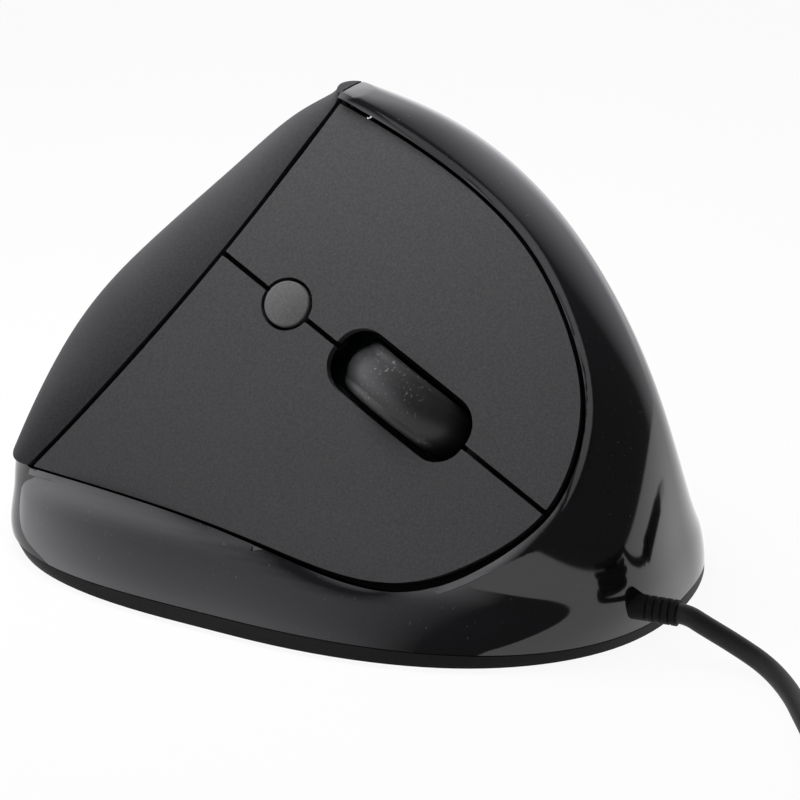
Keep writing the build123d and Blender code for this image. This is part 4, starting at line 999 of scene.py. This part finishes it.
NODE_MATERIALS = {
    "base": ["bottom_plate", "plug_body", "cord_tie"],
    "inner": ["chassis", "wheel_hub", "wheel_carrier", "encoder", "speed_switch", "wheel_switch",
              "index_switch", "middle_switch", "forward_switch", "back_switch", "sensor_chip",
              "controller_chip", "cord_connector", "plug_tongue"],
    "plunger": ["speed_plunger", "wheel_plunger", "index_plunger", "middle_plunger",
                "forward_plunger", "back_plunger"],
    "board": ["button_board", "thumb_board", "main_board"],
    "steel": ["index_hinge_pin", "middle_hinge_pin", "case_screws", "board_screws"],
    "nickel": ["plug_shell"],
    "lens": ["sensor_lens"],
    "lamp": ["sensor_led"],
    "ribbon": ["ribbon_cable"],
    "cord": ["inner_lead"],
    "boot": ["cord_boot"],
    "foot": ["front_foot", "heel_foot", "finger_foot", "thumb_foot"],
}


def make_world():
    """White for the camera; a dim even room for the matt surfaces.

    Mirror rays see a bright backdrop behind the object, light from the left and a dark room on the
    camera's side.
    """
    world = bpy.data.worlds.new("room")
    bpy.context.scene.world = world
    world.use_nodes = True
    tree = world.node_tree
    room = tree.nodes["Background"]
    room.inputs["Color"].default_value = (0.98, 0.98, 1, 1)
    room.inputs["Strength"].default_value = ROOM_LEVEL
    path = tree.nodes.new("ShaderNodeLightPath")
    way = tree.nodes.new("ShaderNodeTexCoord")
    azimuth = math.radians(VIEW_AZIMUTH_DEG)
    near = (math.sin(azimuth), -math.cos(azimuth), 0)
    left = (-math.cos(azimuth), -math.sin(azimuth), 0)
    level = tree.nodes.new("ShaderNodeMath")
    for number, (side, fade) in enumerate(((near, MIRROR_FADE), (left, MIRROR_LEFT))):
        facing = tree.nodes.new("ShaderNodeVectorMath")
        facing.operation = "DOT_PRODUCT"
        facing.inputs[1].default_value = side
        link(tree, way.outputs["Generated"], facing.inputs[0])
        link(tree, ramp(tree, facing.outputs["Value"], *fade), level.inputs[number])
    mirrored = tree.nodes.new("ShaderNodeBackground")
    mirrored.inputs["Color"].default_value = (0.97, 0.96, 1, 1)
    link(tree, level.outputs[0], mirrored.inputs["Strength"])
    white = tree.nodes.new("ShaderNodeBackground")
    white.inputs["Color"].default_value = (1, 1, 1, 1)
    seen = room.outputs[0]
    rays = [("Is Glossy Ray", mirrored), ("Is Transmission Ray", mirrored), ("Is Camera Ray", white)]
    for ray, shader in rays:
        mix = tree.nodes.new("ShaderNodeMixShader")
        link(tree, path.outputs[ray], mix.inputs[0])
        link(tree, seen, mix.inputs[1])
        link(tree, shader.outputs[0], mix.inputs[2])
        seen = mix.outputs[0]
    link(tree, seen, tree.nodes["World Output"].inputs["Surface"])


def make_floor():
    """A plain white floor that shows only a faint shadow, and is white in the gloss."""
    size = FLOOR_HALF
    corners = [(-size, -size, 0), (size, -size, 0), (size, size, 0), (-size, size, 0)]
    floor = make_object("floor", np.array(corners, float) - (0, 0, FLOOR_DROP), [(0, 1, 2, 3)])
    material, tree, shader = new_material("floor_white")
    shader.inputs["Base Color"].default_value = (0.8, 0.8, 0.8, 1)
    shader.inputs["Roughness"].default_value = 0.7
    path = tree.nodes.new("ShaderNodeLightPath")
    seen = shader.outputs[0]
    for ray, share, level in (("Is Glossy Ray", 1.0, FLOOR_MIRRORED), ("Is Camera Ray", FLOOR_WHITE, 1.0)):
        glow = tree.nodes.new("ShaderNodeEmission")
        glow.inputs["Strength"].default_value = level
        part = tree.nodes.new("ShaderNodeMath")
        part.operation = "MULTIPLY"
        part.inputs[1].default_value = share
        mix = tree.nodes.new("ShaderNodeMixShader")
        link(tree, path.outputs[ray], part.inputs[0])
        link(tree, part.outputs[0], mix.inputs[0])
        link(tree, seen, mix.inputs[1])
        link(tree, glow.outputs[0], mix.inputs[2])
        seen = mix.outputs[0]
    link(tree, seen, tree.nodes["Material Output"].inputs["Surface"])
    paint(floor, material)
    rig.stage(floor)


def make_lights():
    """A small box close over the face, a large one in front and one behind, unseen in the gloss."""
    for name, place, size, power in SOFT_BOXES:
        data = bpy.data.lights.new(name, "AREA")
        data.shape = "RECTANGLE"
        data.size, data.size_y = size
        data.energy = power
        light = bpy.data.objects.new(name, data)
        away = Vector(place) - Vector(LIGHT_AIM)
        turn = away.to_track_quat("Z", "Y").to_matrix().to_4x4()
        light.matrix_world = Matrix.Translation(Vector(place)) @ turn
        light.visible_glossy = False
        bpy.context.scene.collection.objects.link(light)


def main():
    place_camera()
    materials = make_materials()
    tree = smoothing_tree()
    for key, names in NODE_MATERIALS.items():
        for name in names:
            paint_node(name, materials[key])
            smooth_node(tree, name)
    cord = make_cord()
    paint(cord, materials["cord"])
    paint(glossy_shell(), materials["gloss"])
    paint(well_wall(), materials["gloss"])
    paint(palm_cover(), materials["palm"])
    for name, side in (("index_button", 1), ("middle_button", -1)):
        paint(button_panel(name, side), materials["button"])
    for name, side in (("forward_button", 1), ("back_button", -1)):
        paint(thumb_button(name, side), materials["key"])
    paint(wheel_tyre(), materials["tyre"])
    paint(speed_button(), materials["speed"])
    names = ("cord_boot", "cord_tie", "plug_body", "plug_shell", "plug_tongue")
    plug = [frame["nodes"][name] for name in names]
    exit_place = [part * MM for part in boot_place(BOOT_LENGTH)]
    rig.cord(cord, exit=exit_place, length=CORD_LENGTH * MM, diameter=CORD_DIAMETER * MM,
            far_end="plug", stiffness="limp", lay="coiled", with_pieces=plug)
    make_world()
    make_floor()
    make_lights()
    bpy.context.scene.view_settings.view_transform = "Standard"
    with open("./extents.json") as size_file:
        sizes = json.load(size_file)
    bpy.context.view_layer.update()
    sizes["made"] = [list(corner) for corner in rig.bounds()]
    with open("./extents.json", "w") as size_file:
        json.dump(sizes, size_file)


main()
